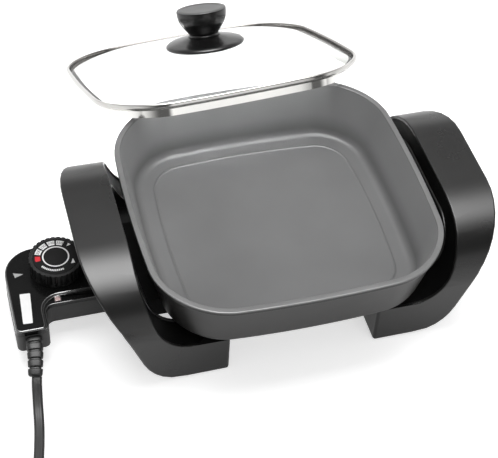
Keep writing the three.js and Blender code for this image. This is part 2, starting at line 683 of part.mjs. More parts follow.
// Bridge: a tray open below, with wings that reach the two legs
function makeBridge(withSocket) {
  const bottom = BRIDGE_TOP - BRIDGE_HEIGHT;
  const wing = LEG_FACE - SEAT_GAP;
  const wingStart = BRIDGE_OUTER_X - WING_WIDTH;
  const w = BRIDGE_WALL;
  let bridge = box(BRIDGE_INNER_X, BRIDGE_OUTER_X, -BRIDGE_HALF, BRIDGE_HALF, bottom, BRIDGE_TOP);
  const [front, rear] = [HANDLE_SHIFT - wing, HANDLE_SHIFT + wing];
  bridge = bridge.add(box(wingStart, BRIDGE_OUTER_X, front, rear, bottom, BRIDGE_TOP));
  bridge = bridge.subtract(box(BRIDGE_INNER_X + w, BRIDGE_OUTER_X - w, w - BRIDGE_HALF, BRIDGE_HALF - w,
    bottom - CUT_OVERRUN, BRIDGE_TOP - w));
  bridge = bridge.subtract(box(wingStart + w, BRIDGE_OUTER_X - w, front + w, rear - w,
    bottom - CUT_OVERRUN, BRIDGE_TOP - w));
  for (const end of [-1, 1]) {
    bridge = bridge.subtract(bar('z', SCREW_RADIUS + SCREW_GAP, bottom, BRIDGE_TOP + CUT_OVERRUN,
      PAN_BOSS_X, end * PAN_BOSS_Y));
    bridge = bridge.subtract(legScrewHole(end));
  }
  if (!withSocket) return bridge;
  const inner = WELL_HALF_WIDTH + ELEMENT_RADIUS * 2 + INSULATOR_RADIUS;
  const low = bottom - CUT_OVERRUN;
  bridge = bridge.subtract(box(BRIDGE_INNER_X - CUT_OVERRUN, BRIDGE_INNER_X + w + CUT_OVERRUN, -inner, inner,
    low, BRIDGE_TOP - w));
  return bridge.subtract(box(BRIDGE_OUTER_X - w - CUT_OVERRUN, BRIDGE_OUTER_X + CUT_OVERRUN,
    -NOSE_HALF_WIDTH - SEAT_GAP, NOSE_HALF_WIDTH + SEAT_GAP, low, PROBE_HEIGHT + NOSE_HALF_HEIGHT + SEAT_GAP));
}

function legScrewX() {
  return BRIDGE_OUTER_X - WING_WIDTH / 2;
}

function legScrewHole(end) {
  const from = LEG_FACE - BRIDGE_WALL - CUT_OVERRUN;
  const to = LEG_FACE + LEG_SCREW_BITE + SEAT_GAP;
  return bar('y', SCREW_RADIUS + SCREW_GAP, ...legSpan(end, from, to), legScrewX(), LEG_SCREW_Z);
}

// A stretch across the handles, measured from their middle towards one end
function legSpan(end, from, to) {
  const span = end > 0 ? [from, to] : [-to, -from];
  return span.map((y) => y + HANDLE_SHIFT);
}

function makeLegScrew(end) {
  const seat = LEG_FACE - SEAT_GAP - BRIDGE_WALL - SEAT_GAP;
  const tip = LEG_FACE + LEG_SCREW_BITE;
  const place = [legScrewX(), LEG_SCREW_Z];
  const head = bar('y', SCREW_HEAD_RADIUS, ...legSpan(end, seat - SCREW_HEAD_HEIGHT, seat), ...place);
  return head.add(bar('y', SCREW_RADIUS, ...legSpan(end, seat - SEAT_GAP, tip), ...place));
}

function makePanScrew(end) {
  const place = [PAN_BOSS_X, end * PAN_BOSS_Y];
  const seat = BRIDGE_TOP - BRIDGE_WALL - SEAT_GAP;
  const head = bar('z', SCREW_HEAD_RADIUS, seat - SCREW_HEAD_HEIGHT, seat, ...place);
  return head.add(bar('z', SCREW_RADIUS, seat - SEAT_GAP, BRIDGE_TOP + PAN_SCREW_BITE, ...place));
}

// Heat guard: an upright panel that fills the arch from the bridge to the grip
function makeGuard() {
  const half = LEG_FACE - SEAT_GAP;
  const top = HANDLE_HEIGHT - GRIP_THICKNESS - SEAT_GAP;
  const bottom = BRIDGE_TOP + SEAT_GAP;
  const radius = ARCH_INNER_RADIUS - SEAT_GAP;
  const outline = archSide(half, top, radius, radius, bottom);
  const panel = prism('x', outline, GRIP_INNER, GRIP_INNER + GUARD_THICKNESS);
  const shelfEnd = GRIP_INNER - GUARD_FOOT;
  const shelf = box(shelfEnd, GRIP_INNER + GUARD_THICKNESS, -BRIDGE_HALF, BRIDGE_HALF, bottom,
    bottom + GUARD_THICKNESS);
  return panel.add(shelf);
}

function padSolid(end, gap, drop) {
  const middle = HANDLE_SHIFT + end * (HANDLE_HALF - LEG_THICKNESS / 2);
  const top = PAD_STAND + PAD_RECESS + gap;
  return box(PAD_X - PAD_LENGTH / 2 - gap, PAD_X + PAD_LENGTH / 2 + gap, middle - PAD_WIDTH / 2 - gap,
    middle + PAD_WIDTH / 2 + gap, -drop, top);
}

// A ring of the lid, in the lid's own frame: the glass's top edge is at height zero
function lidRing([inset, z]) {
  const half = LID_HALF - inset;
  return squareRing(half, LID_CORNER - inset, (LID_BOW * half) / LID_HALF, z);
}

function makeBand() {
  const m = BAND_METAL;
  const edge = BAND_EDGE_HEIGHT;
  const low = -BAND_HEIGHT;
  const profile = [
    [BAND_LIP, 0], [m, 0], [0, -m], [0, m - edge], [m, -edge], [SKIRT_INSET, -edge],
    [SKIRT_INSET, low], [SKIRT_INSET + m, low], [SKIRT_INSET + m, m - edge], [m, m - edge],
    [m, -m], [BAND_LIP, -m],
  ];
  return loft(profile.map(lidRing), true);
}

function glassTop() {
  return -BAND_METAL - SEAT_GAP;
}

function makeGlass() {
  const edge = BAND_METAL + SEAT_GAP;
  const top = glassTop();
  const flat = BAND_LIP + SEAT_GAP;
  const dome = GLASS_DOME_SHARES.map(([inward, rise]) => [
    flat + inward * (LID_HALF - flat),
    top + rise * GLASS_DOME,
  ]);
  const upper = [...[[edge, top], [flat, top]].map(lidRing), ...dome.map(glassRing)];
  const lower = upper.map((ring) => ring.map((p) => p.clone().setZ(p.z - GLASS_THICKNESS)));
  const glass = loft([...lower.reverse(), ...upper], false);
  return glass.subtract(bar('z', GLASS_HOLE_RADIUS, -BAND_HEIGHT, knobSeat(), 0, 0, ROUND_STEPS));
}

function glassRing([inset, z]) {
  const half = LID_HALF - inset;
  const corner = (LID_CORNER * half) / LID_HALF;
  return squareRing(half, corner, (LID_BOW * half) / LID_HALF, z);
}

function knobSeat() {
  return glassTop() + GLASS_DOME + SEAT_GAP;
}

function makeKnobBase() {
  const seat = knobSeat();
  const reach = KNOB_BASE_RADIUS - KNOB_NECK_RADIUS;
  const edge = KNOB_BASE_SHARES.map(([out, up]) => [
    KNOB_NECK_RADIUS + out * reach,
    seat + up * KNOB_BASE_HEIGHT,
  ]);
  const profile = [[0, seat], ...edge, [0, seat + KNOB_BASE_HEIGHT]];
  return turned(profile, ROUND_STEPS * 2).subtract(knobBore(seat, seat + KNOB_BASE_HEIGHT));
}

function knobBore(from, to) {
  return bar('z', KNOB_SCREW_RADIUS + SCREW_GAP, from - CUT_OVERRUN, to + CUT_OVERRUN, 0, 0);
}

function makeKnob() {
  const start = knobSeat() + KNOB_BASE_HEIGHT + SEAT_GAP;
  const top = knobSeat() + KNOB_HEIGHT;
  const reach = KNOB_TOP_RADIUS - KNOB_NECK_RADIUS;
  const side = KNOB_SHARES.map(([out, up]) => [KNOB_NECK_RADIUS + out * reach, start + up * (top - start)]);
  const profile = [[0, start], ...side, [KNOB_TOP_RADIUS * KNOB_CROWN_SHARE, top], [0, top]];
  return turned(profile, ROUND_STEPS * 2).subtract(knobBore(start - CUT_OVERRUN, knobScrewTip() - CUT_OVERRUN));
}

function knobScrewTip() {
  return knobSeat() + KNOB_SCREW_LENGTH;
}

function underGlass() {
  return glassTop() + GLASS_DOME - GLASS_THICKNESS - SEAT_GAP;
}

function makeRoundWasher(radius, top, thickness) {
  const disc = bar('z', radius, top - thickness, top, 0, 0, ROUND_STEPS);
  return disc.subtract(knobBore(top - thickness, top));
}

function makeKnobScrew() {
  const seat = underGlass() - SEAL_THICKNESS - WASHER_THICKNESS - SEAT_GAP * 2;
  const head = bar('z', KNOB_SCREW_RADIUS * 2, seat - SCREW_HEAD_HEIGHT, seat, 0, 0);
  return head.add(bar('z', KNOB_SCREW_RADIUS, seat - SEAT_GAP, knobScrewTip(), 0, 0));
}

// The lid leans with its far edge on the table and its skirt on the pan's rear corners.
// Its middle is found by moving it towards the pan until the two only just clear each other.
function lidRest(pan, band) {
  const tilt = THREE.MathUtils.degToRad(-LID_TILT);
  const yaw = THREE.MathUtils.degToRad(LID_YAW);
  const pose = new THREE.Euler(tilt, 0, yaw, 'ZXY');
  const leaned = band.transform(new THREE.Matrix4().makeRotationFromEuler(pose).elements);
  const height = SEAT_GAP - leaned.boundingBox().min[2];
  const clears = (y) => pan.minGap(leaned.translate([LID_X, y, height]), SEAT_GAP * 2) > SEAT_GAP;
  let y = PAN_HALF + LID_WIDTH;
  let stride = y / REST_STRIDES;
  while (clears(y - stride)) y -= stride;
  for (let i = 0; i < REST_STEPS; i += 1) {
    stride /= 2;
    if (clears(y - stride)) y -= stride;
  }
  return { pose, y, z: height };
}

// Outline of the control's body from above, drawn in by a distance, and further along the
// arm's front and the tail's right side where a deck is asked for
function bodyOutline(inset, frontMargin = 0, tailMargin = 0) {
  const right = BODY_FACE_X - inset;
  const left = BODY_FAR_X + inset;
  const back = BODY_HALF_WIDTH - inset;
  const front = inset - BODY_HALF_WIDTH + frontMargin;
  const tailRight = BODY_FAR_X + TAIL_WIDTH - inset - tailMargin;
  const tailEnd = TAIL_END_Y + inset;
  return [
    [right, back],
    ...corner(left, back, BODY_BIG_CORNER - inset, Math.PI / 2, 1, -1),
    ...corner(left, tailEnd, BODY_SMALL_CORNER - inset, Math.PI, 1, 1),
    ...corner(tailRight, tailEnd, BODY_SMALL_CORNER - inset, -Math.PI / 2, -1, 1),
    ...corner(tailRight, front, BODY_INNER_CORNER + inset + frontMargin, Math.PI / 2, 1, -1).reverse(),
    [right, front],
  ];
}

// A rounded corner: its sharp point, radius, start angle, and which way its middle lies
function corner(x, y, radius, start, towardsX, towardsY) {
  const points = [];
  for (let i = 0; i <= CORNER_STEPS; i += 1) {
    const turn = start + (Math.PI / 2) * (i / CORNER_STEPS);
    const [centreX, centreY] = [x + towardsX * radius, y + towardsY * radius];
    points.push([centreX + radius * Math.cos(turn), centreY + radius * Math.sin(turn)]);
  }
  return points;
}

// Where the control's three screws stand
function postPlaces() {
  const edge = BODY_WALL + POST_EDGE;
  return [
    [BODY_FACE_X - edge, BODY_HALF_WIDTH - edge],
    [BODY_FACE_X - edge, edge - BODY_HALF_WIDTH],
    [BODY_FAR_X + edge, TAIL_END_Y / 2],
  ];
}

function makeLowerShell() {
  const top = SPLIT_HEIGHT - SEAT_GAP;
  const floor = BODY_BOTTOM + BODY_WALL;
  let shell = prism('z', bodyOutline(0), BODY_BOTTOM, top);
  shell = shell.subtract(prism('z', bodyOutline(BODY_WALL), floor, top + CUT_OVERRUN));
  for (const [x, y] of postPlaces()) {
    shell = shell.add(bar('z', POST_RADIUS, BODY_BOTTOM + BODY_WALL / 2, top, x, y));
    shell = shell.subtract(bar('z', BODY_SCREW_RADIUS + SCREW_GAP, BODY_BOTTOM - CUT_OVERRUN,
      top + CUT_OVERRUN, x, y));
    shell = shell.subtract(bar('z', BODY_SCREW_HEAD_RADIUS + SCREW_GAP, BODY_BOTTOM - CUT_OVERRUN,
      BODY_BOTTOM + BODY_SCREW_RECESS, x, y));
  }
  const wide = NOSE_HALF_WIDTH + SEAT_GAP;
  const high = NOSE_HALF_HEIGHT + SEAT_GAP;
  shell = shell.subtract(box(BODY_FACE_X - BODY_WALL - CUT_OVERRUN, BODY_FACE_X + CUT_OVERRUN, -wide, wide,
    PROBE_HEIGHT - high, PROBE_HEIGHT + high));
  const neck = RELIEF_NECK / 2 + SEAT_GAP;
  return shell.subtract(box(TAIL_X - neck, TAIL_X + neck, TAIL_END_Y - CUT_OVERRUN,
    TAIL_END_Y + BODY_WALL + CUT_OVERRUN, PROBE_HEIGHT - neck, PROBE_HEIGHT + neck));
}

function makeUpperShell() {
  const out = -CUT_OVERRUN;
  const ledge = BODY_TOP - DECK_STEP;
  let shell = prism('z', bodyOutline(0), SPLIT_HEIGHT, BODY_TOP);
  const margins = [DECK_MARGIN - out, DECK_TAIL_MARGIN - out];
  const around = box(BODY_FAR_X + out, BODY_FACE_X - out, TAIL_END_Y + out, BODY_HALF_WIDTH - out, ledge,
    BODY_TOP - out);
  shell = shell.subtract(around.subtract(prism('z', bodyOutline(out, ...margins), ledge - CUT_OVERRUN,
    BODY_TOP + CUT_OVERRUN * 2)));
  const outside = shell;
  const low = SPLIT_HEIGHT - CUT_OVERRUN;
  shell = shell.subtract(prism('z', bodyOutline(BODY_WALL), low, ledge - BODY_WALL));
  shell = shell.subtract(prism('z', bodyOutline(BODY_WALL, DECK_MARGIN, DECK_TAIL_MARGIN), low,
    BODY_TOP - BODY_WALL));
  for (const [x, y] of postPlaces()) {
    shell = shell.add(bar('z', POST_RADIUS, SPLIT_HEIGHT, BODY_TOP - BODY_WALL / 2, x, y).intersect(outside));
    shell = shell.subtract(bar('z', BODY_SCREW_RADIUS + SCREW_GAP, low, screwTip() + SEAT_GAP, x, y));
  }
  shell = shell.subtract(bar('z', SHAFT_RADIUS + SCREW_GAP, low, BODY_TOP + CUT_OVERRUN, DIAL_X, DIAL_Y));
  const half = LAMP_HALF + SEAT_GAP;
  return shell.subtract(box(LAMP_X - half, LAMP_X + half, LAMP_Y - half, LAMP_Y + half, low, BODY_TOP));
}

function screwTip() {
  return BODY_TOP - DECK_STEP - BODY_WALL;
}

function makeBodyScrew([x, y]) {
  const seat = BODY_BOTTOM + BODY_SCREW_RECESS - SEAT_GAP;
  const head = bar('z', BODY_SCREW_HEAD_RADIUS, seat - BODY_SCREW_HEAD_HEIGHT, seat, x, y);
  return head.add(bar('z', BODY_SCREW_RADIUS, seat - SEAT_GAP, screwTip(), x, y));
}

// Heat-proof block that carries the probe and the two sockets into the bridge
function makeNose() {
  const w = NOSE_HALF_WIDTH;
  const h = NOSE_HALF_HEIGHT;
  let nose = box(NOSE_BACK_X, NOSE_TIP_X, -w, w, PROBE_HEIGHT - h, PROBE_HEIGHT + h);
  const from = NOSE_BACK_X - CUT_OVERRUN;
  const to = NOSE_TIP_X + CUT_OVERRUN;
  nose = nose.subtract(bar('x', PROBE_RADIUS + SEAT_GAP, from, to, 0, PROBE_HEIGHT));
  for (const y of [-TERMINAL_Y, TERMINAL_Y]) {
    nose = nose.subtract(bar('x', SLEEVE_RADIUS + SEAT_GAP, from, to, y, PROBE_HEIGHT));
  }
  return nose;
}

function makeProbe() {
  const back = NOSE_BACK_X - FRAME_LENGTH / 2;
  const tipStart = PROBE_TIP_X - PROBE_RADIUS;
  const profile = [[0, back], [PROBE_RADIUS, back], [PROBE_RADIUS, tipStart]];
  for (let i = 1; i < EDGE_ROUND_STEPS; i += 1) {
    const turn = (Math.PI / 2) * (i / EDGE_ROUND_STEPS);
    profile.push([PROBE_RADIUS * Math.cos(turn), tipStart + PROBE_RADIUS * Math.sin(turn)]);
  }
  profile.push([0, PROBE_TIP_X]);
  const rod = new THREE.LatheGeometry(profile.map(([r, z]) => new THREE.Vector2(r, z)), PIN_STEPS);
  rod.rotateZ(-Math.PI / 2).translate(0, 0, PROBE_HEIGHT);
  return solidOf(rod);
}

function makeSleeve(y) {
  const sleeve = bar('x', SLEEVE_RADIUS, SLEEVE_BACK_X, SLEEVE_TIP_X, y, PROBE_HEIGHT);
  return sleeve.subtract(bar('x', TERMINAL_RADIUS + SEAT_GAP, SLEEVE_TIP_X - SLEEVE_STOP,
    SLEEVE_TIP_X + CUT_OVERRUN, y, PROBE_HEIGHT));
}

// Thermostat frame: a floor plate with an upright that grips the probe
function makeFrame() {
  const floor = BODY_BOTTOM + BODY_WALL + SEAT_GAP;
  const near = NOSE_BACK_X - SEAT_GAP;
  const w = TERMINAL_Y - SLEEVE_RADIUS - SEAT_GAP;
  const plate = box(near - FRAME_LENGTH - FRAME_THICKNESS, near, -w, w, floor, floor + FRAME_THICKNESS);
  const upright = box(near - FRAME_THICKNESS, near, -w, w, floor, PROBE_HEIGHT + NOSE_HALF_HEIGHT);
  return plate.add(upright).subtract(bar('x', PROBE_RADIUS + SEAT_GAP, near - FRAME_LENGTH,
    near + CUT_OVERRUN, 0, PROBE_HEIGHT));
}

function makeContactArm(y) {
  const end = SLEEVE_BACK_X - SEAT_GAP;
  return box(end - CONTACT_ARM_LENGTH, end, y - CONTACT_ARM_THICKNESS / 2, y + CONTACT_ARM_THICKNESS / 2,
    PROBE_HEIGHT - CONTACT_ARM_WIDTH / 2, PROBE_HEIGHT + CONTACT_ARM_WIDTH / 2);
}

function dialBottom() {
  return BODY_TOP + SEAT_GAP;
}

function makeDial() {
  const bottom = dialBottom();
  const top = bottom + DIAL_HEIGHT;
  const outline = [];
  for (let i = 0; i < DIAL_FLUTES; i += 1) {
    for (const [share, deep] of DIAL_FLUTE_SHARES) {
      const turn = (2 * Math.PI * (i + share)) / DIAL_FLUTES;
      const radius = DIAL_RADIUS - deep * DIAL_FLUTE;
      outline.push([DIAL_X + radius * Math.cos(turn), DIAL_Y + radius * Math.sin(turn)]);
    }
  }
  let dial = prism('z', outline, bottom + DIAL_SKIRT, top);
  const skirtTop = bottom + DIAL_SKIRT + SEAT_GAP;
  dial = dial.add(bar('z', DIAL_RADIUS, bottom, skirtTop, DIAL_X, DIAL_Y, ROUND_STEPS * 2));
  dial = dial.subtract(bar('z', PLATE_RADIUS + SEAT_GAP, top - PLATE_THICKNESS, top + CUT_OVERRUN, DIAL_X,
    DIAL_Y, ROUND_STEPS * 2));
  return dial.subtract(bar('z', SHAFT_RADIUS + SEAT_GAP, bottom - CUT_OVERRUN,
    bottom + SHAFT_GRIP + SEAT_GAP, DIAL_X, DIAL_Y));
}

function makeDialPlate() {
  const top = dialBottom() + DIAL_HEIGHT;
  return bar('z', PLATE_RADIUS, top - PLATE_THICKNESS + SEAT_GAP, top + SEAT_GAP, DIAL_X, DIAL_Y,
    ROUND_STEPS * 2);
}

function makeShaft() {
  const foot = BODY_BOTTOM + BODY_WALL + SEAT_GAP + FRAME_THICKNESS + SEAT_GAP;
  return bar('z', SHAFT_RADIUS, foot, dialBottom() + SHAFT_GRIP, DIAL_X, DIAL_Y);
}

function makeLens() {
  const top = BODY_TOP - DECK_STEP + SEAT_GAP;
  const h = LAMP_HALF;
  return box(LAMP_X - h, LAMP_X + h, LAMP_Y - h, LAMP_Y + h, top - LAMP_THICKNESS - SEAT_GAP, top);
}

function makeLamp() {
  const top = BODY_TOP - DECK_STEP - LAMP_THICKNESS - SEAT_GAP;
  return bar('z', LAMP_HALF, BODY_BOTTOM + BODY_WALL + SEAT_GAP, top, LAMP_X, LAMP_Y);
}

// Strain relief: a ribbed flat boot that starts inside the tail and droops with the cord
function reliefPlace(share) {
  const s = Math.max(0, share);
  return unit(TAIL_X - RELIEF_END_SHIFT * s ** RELIEF_SHIFT_POWER, TAIL_END_Y - share * RELIEF_LENGTH,
    PROBE_HEIGHT - RELIEF_END_DROP * s ** RELIEF_DROP_POWER);
}

function reliefRing(share, narrower) {
  const place = reliefPlace(share);
  const ahead = reliefPlace(share + RELIEF_STEP_SHARE).sub(reliefPlace(share - RELIEF_STEP_SHARE)).normalize();
  const side = unit(0, 0, 1).cross(ahead).normalize();
  const up = ahead.clone().cross(side);
  const [w, t] = [RELIEF_WIDTH / 2 - narrower, RELIEF_THICKNESS / 2 - narrower];
  return circlePoints(1, RELIEF_SIDES).map(([u, v]) => place.clone()
    .addScaledVector(side, roundedUnit(u) * w)
    .addScaledVector(up, roundedUnit(v) * t));
}

// Squares a circle's points up a little, for a flat boot
function roundedUnit(u) {
  return Math.sign(u) * Math.abs(u) ** SQUARED_POWER;
}

function makeRelief() {
  const inner = (BODY_WALL + SEAT_GAP) / RELIEF_LENGTH;
  const start = SEAT_GAP / RELIEF_LENGTH;
  const rings = [
    reliefRing(-inner - RELIEF_FLANGE / RELIEF_LENGTH, 0), reliefRing(-inner, 0),
    neckRing(-inner), neckRing(start), reliefRing(start, 0),
  ];
  const step = 1 / (RELIEF_RIBS + RELIEF_LAST_SHARE);
  const [shallow, deep, end] = RELIEF_GROOVE_SHARES;
  for (let i = 0; i < RELIEF_RIBS; i += 1) {
    const from = (i + RELIEF_LEAD_SHARE) * step;
    const taper = (RELIEF_TAPER * from) / 2;
    rings.push(reliefRing(from, taper));
    rings.push(reliefRing(from + step * shallow, taper + RELIEF_GROOVE));
    rings.push(reliefRing(from + step * deep, taper + RELIEF_GROOVE));
    rings.push(reliefRing(from + step * end, taper));
  }
  rings.push(reliefRing(1, RELIEF_TAPER));
  return loft(rings, false);
}

function neckRing(share) {
  const place = reliefPlace(share);
  return circlePoints(RELIEF_NECK / 2, RELIEF_SIDES).map(([u, v]) => unit(place.x + u, place.y, place.z + v));
}

// Section of the flat twin cord: two round cores side by side
function cordSection() {
  const core = CORD_THICKNESS / 2;
  const shift = CORD_WIDTH / 2 - core;
  const turns = [-1, 0, 1].map((i) => (i * Math.PI) / 3);
  const lobe = turns.map((turn) => [shift + core * Math.cos(turn), core * Math.sin(turn)]);
  const waist = core * CORD_WAIST_SHARE;
  return [...lobe, [0, waist], ...lobe.map(([u, v]) => [-u, -v]), [0, -waist]];
}

function makeCordRun() {
  const path = new THREE.CatmullRomCurve3(CORD_ROUTE.map((p) => unit(...p)), false, 'centripetal');
  return tube(path, cordSection(), RUN_STEPS);
}

// Middle of the coiled cord after so many turns
function coilPlace(turns) {
  const reversal = COIL_TURNS / 2;
  const inward = turns < reversal ? turns : COIL_TURNS - turns;
  const radius = COIL_RADIUS - COIL_PITCH * inward;
  const angle = COIL_START_ANGLE + 2 * Math.PI * turns;
  const span = COIL_CLIMB_END_SHARE - COIL_CLIMB_START_SHARE;
  const climb = THREE.MathUtils.smoothstep((turns - COIL_CLIMB_START_SHARE) / span, 0, 1);
  const height = COIL_BASE + CORD_THICKNESS / 2 + climb * (CORD_THICKNESS + COIL_LAYER_GAP);
  return unit(COIL_X + radius * Math.cos(angle), COIL_Y + radius * Math.sin(angle), height);
}

// Places along the coil, with a straight lead in and a straight tail
function coilPlaces(stepsPerTurn) {
  const places = [];
  const first = coilPlace(0);
  const steps = Math.round(COIL_TURNS * stepsPerTurn);
  places.push(first.clone().add(unit(0, COIL_LEAD, 0)));
  for (let i = 0; i <= steps; i += 1) places.push(coilPlace((COIL_TURNS * i) / steps));
  const last = coilPlace(COIL_TURNS);
  places.push(last.clone().add(unit(COIL_TAIL / 2, 0, 0)), last.clone().add(unit(COIL_TAIL, 0, 0)));
  return places;
}

// Rings of a flat section along places, always lying level
function flatRings(places, section) {
  return places.map((place, i) => {
    const before = places[Math.max(0, i - 1)];
    const after = places[Math.min(places.length - 1, i + 1)];
    const ahead = after.clone().sub(before).normalize();
    const side = unit(0, 0, 1).cross(ahead).normalize();
    const up = ahead.clone().cross(side);
    return section.map(([u, v]) => place.clone().addScaledVector(side, u).addScaledVector(up, v));
  });
}

function coilSection() {
  const core = CORD_THICKNESS / 2;
  const shift = CORD_WIDTH / 2 - core;
  return [[CORD_WIDTH / 2, 0], [shift, core], [-shift, core], [-CORD_WIDTH / 2, 0], [-shift, -core],
    [shift, -core]];
}

// Least gap between stretches of the coil that lie more than a third of a turn apart
function coilGap() {
  const fine = COIL_STEPS_PER_TURN * 3;
  const rings = flatRings(coilPlaces(fine), coilSection()).map(denseRing);
  let least = Infinity;
  for (let a = 0; a < rings.length; a += 1) {
    for (let b = a + Math.round(fine / 3); b < rings.length; b += 1) {
      for (const p of rings[a]) {
        for (const q of rings[b]) least = Math.min(least, p.distanceTo(q));
      }
    }
  }
  return least;
}

function denseRing(ring) {
  return ring.flatMap((p, i) => [p, p.clone().lerp(ring[(i + 1) % ring.length], 1 / 2)]);
}

// Strap round both layers of the coil, on its right side
function makeTie() {
  const low = COIL_RADIUS - COIL_PITCH / 2;
  const high = COIL_RADIUS - COIL_PITCH * (COIL_TURNS - 3 / 2);
  const inner = COIL_X + Math.min(low, high) - CORD_WIDTH / 2 - TIE_SLACK;
  const outer = COIL_X + Math.max(low, high) + CORD_WIDTH / 2 + TIE_SLACK;
  const top = COIL_BASE + CORD_THICKNESS * 2 + COIL_LAYER_GAP + SEAT_GAP;
  const half = TIE_WIDTH / 2;
  const t = TIE_THICKNESS;
  const strap = box(inner - t, outer + t, COIL_Y - half, COIL_Y + half, 0, top + t);
  return strap.subtract(box(inner, outer, COIL_Y - half - CUT_OVERRUN, COIL_Y + half + CUT_OVERRUN, t, top));
}

function plugBack() {
  return coilPlace(COIL_TURNS).add(unit(COIL_TAIL + SEAT_GAP, 0, 0));
}

// Moulded plug: it widens from the cord to a flat face
function makePlug() {
  const back = plugBack();
  const tall = back.z - CORD_LIFT;
  const rings = PLUG_SHARES.map(([along, grown]) => {
    const half = (PLUG_NECK + (PLUG_WIDTH - PLUG_NECK) * grown) / 2;
    const height = CORD_THICKNESS + (tall - CORD_THICKNESS) * grown;
    return circlePoints(1, RELIEF_SIDES).map(([u, v]) => unit(back.x + along * PLUG_LENGTH,
      back.y + roundedUnit(u) * half, back.z + roundedUnit(v) * height));
  });
  let plug = loft(rings, false);
  for (const side of [-1, 1]) plug = plug.subtract(bladeSolid(side, SEAT_GAP, CUT_OVERRUN));
  return plug;
}

function bladeSolid(side, gap, longer) {
  const back = plugBack();
  const face = back.x + PLUG_LENGTH;
  const y = back.y + (side * BLADE_SPACING) / 2;
  const t = BLADE_THICKNESS / 2 + gap;
  const h = BLADE_HEIGHT / 2 + gap;
  return box(face - BLADE_ROOT - gap, face + BLADE_LENGTH + longer, y - t, y + t, back.z - h, back.z + h);
}

const part = new THREE.Group();
const drawn = new THREE.Group();
const lid = new THREE.Group();
const pan = makePan();
const band = makeBand();
const rest = lidRest(pan, band);
lid.rotation.copy(rest.pose);
lid.position.set(LID_X, rest.y, rest.z);
part.add(drawn);
drawn.add(lid);

function addPiece(parent, name, geometry, [color, roughness, metalness]) {
  const mesh = new THREE.Mesh(geometry, new THREE.MeshStandardMaterial({ color, roughness, metalness }));
  mesh.name = name;
  parent.add(mesh);
}

// Finishes: colour, roughness, metalness
const COATING = [0x7c7f7e, 0.35, 0.2];
const CHARCOAL = [0x45464a, 0.42, 0];
const BLACK_MATT = [0x1a1a1b, 0.6, 0];
const BLACK_GLOSS = [0x121213, 0.18, 0];
const STEEL = [0xb8b9ba, 0.3, 1];
const CHROME = [0xd6d8da, 0.12, 1];
const BRASS = [0xb89a58, 0.35, 1];
const CERAMIC = [0xe6e2d8, 0.7, 0];
const GLASS = [0xdfe6e6, 0.05, 0];
const RUBBER = [0x242425, 0.85, 0];
const LAMP_RED = [0xb4321e, 0.2, 0];

addPiece(drawn, 'pan', geometryOf(pan), COATING);
addPiece(drawn, 'heating_element', geometryOf(makeElement()), STEEL);
for (const [end, y] of [['front', -TERMINAL_Y], ['rear', TERMINAL_Y]]) {
  addPiece(drawn, `terminal_pin_${end}`, geometryOf(makeTerminal(y)), STEEL);
  addPiece(drawn, `terminal_insulator_${end}`, geometryOf(makeInsulator(y)), CERAMIC);
}
addPiece(drawn, 'terminal_shroud', geometryOf(makeShroud()), STEEL);

// Handles and what holds them: drawn for the right side and mirrored for the left
for (const [side, place] of [['right', (g) => g], ['left', mirrored]]) {
  const add = (name, solid, finish) => addPiece(drawn, `${side}_${name}`, place(geometryOf(solid)), finish);
  add('handle', makeHandle(), CHARCOAL);
  add('handle_liner', makeLiner(), BLACK_MATT);
  add('heat_guard', makeGuard(), BLACK_MATT);
  add('bridge', makeBridge(side === 'left'), BLACK_MATT);
  for (const [name, end] of [['front', -1], ['rear', 1]]) {
    add(`pan_screw_${name}`, makePanScrew(end), STEEL);
    add(`leg_screw_${name}`, makeLegScrew(end), STEEL);
    add(`foot_pad_${name}`, padSolid(end, 0, 0), RUBBER);
  }
}

addPiece(lid, 'lid_band', geometryOf(band), CHROME);
addPiece(lid, 'lid_glass', geometryOf(makeGlass()), GLASS);
addPiece(lid, 'knob_base', geometryOf(makeKnobBase()), BLACK_GLOSS);
addPiece(lid, 'knob', geometryOf(makeKnob()), BLACK_GLOSS);
addPiece(lid, 'knob_seal', geometryOf(makeRoundWasher(SEAL_RADIUS, underGlass(), SEAL_THICKNESS)), RUBBER);
const washerTop = underGlass() - SEAL_THICKNESS - SEAT_GAP;
addPiece(lid, 'knob_washer', geometryOf(makeRoundWasher(WASHER_RADIUS, washerTop, WASHER_THICKNESS)), STEEL);
addPiece(lid, 'knob_screw', geometryOf(makeKnobScrew()), STEEL);

addPiece(drawn, 'control_lower_shell', geometryOf(makeLowerShell()), BLACK_MATT);
addPiece(drawn, 'control_upper_shell', geometryOf(makeUpperShell()), BLACK_GLOSS);
postPlaces().forEach((place, i) => {
  addPiece(drawn, `control_screw_${i + 1}`, geometryOf(makeBodyScrew(place)), STEEL);
});
addPiece(drawn, 'control_nose', geometryOf(makeNose()), BLACK_MATT);
addPiece(drawn, 'probe', geometryOf(makeProbe()), CHROME);
addPiece(drawn, 'contact_sleeve_front', geometryOf(makeSleeve(-TERMINAL_Y)), BRASS);
addPiece(drawn, 'contact_sleeve_rear', geometryOf(makeSleeve(TERMINAL_Y)), BRASS);
addPiece(drawn, 'thermostat_frame', geometryOf(makeFrame()), STEEL);
addPiece(drawn, 'contact_arm_front', geometryOf(makeContactArm(-TERMINAL_Y)), BRASS);
addPiece(drawn, 'contact_arm_rear', geometryOf(makeContactArm(TERMINAL_Y)), BRASS);
addPiece(drawn, 'dial', geometryOf(makeDial()), BLACK_GLOSS);
addPiece(drawn, 'dial_plate', geometryOf(makeDialPlate()), BLACK_MATT);
addPiece(drawn, 'dial_shaft', geometryOf(makeShaft()), BRASS);
addPiece(drawn, 'lamp_lens', geometryOf(makeLens()), LAMP_RED);
addPiece(drawn, 'indicator_lamp', geometryOf(makeLamp()), GLASS);
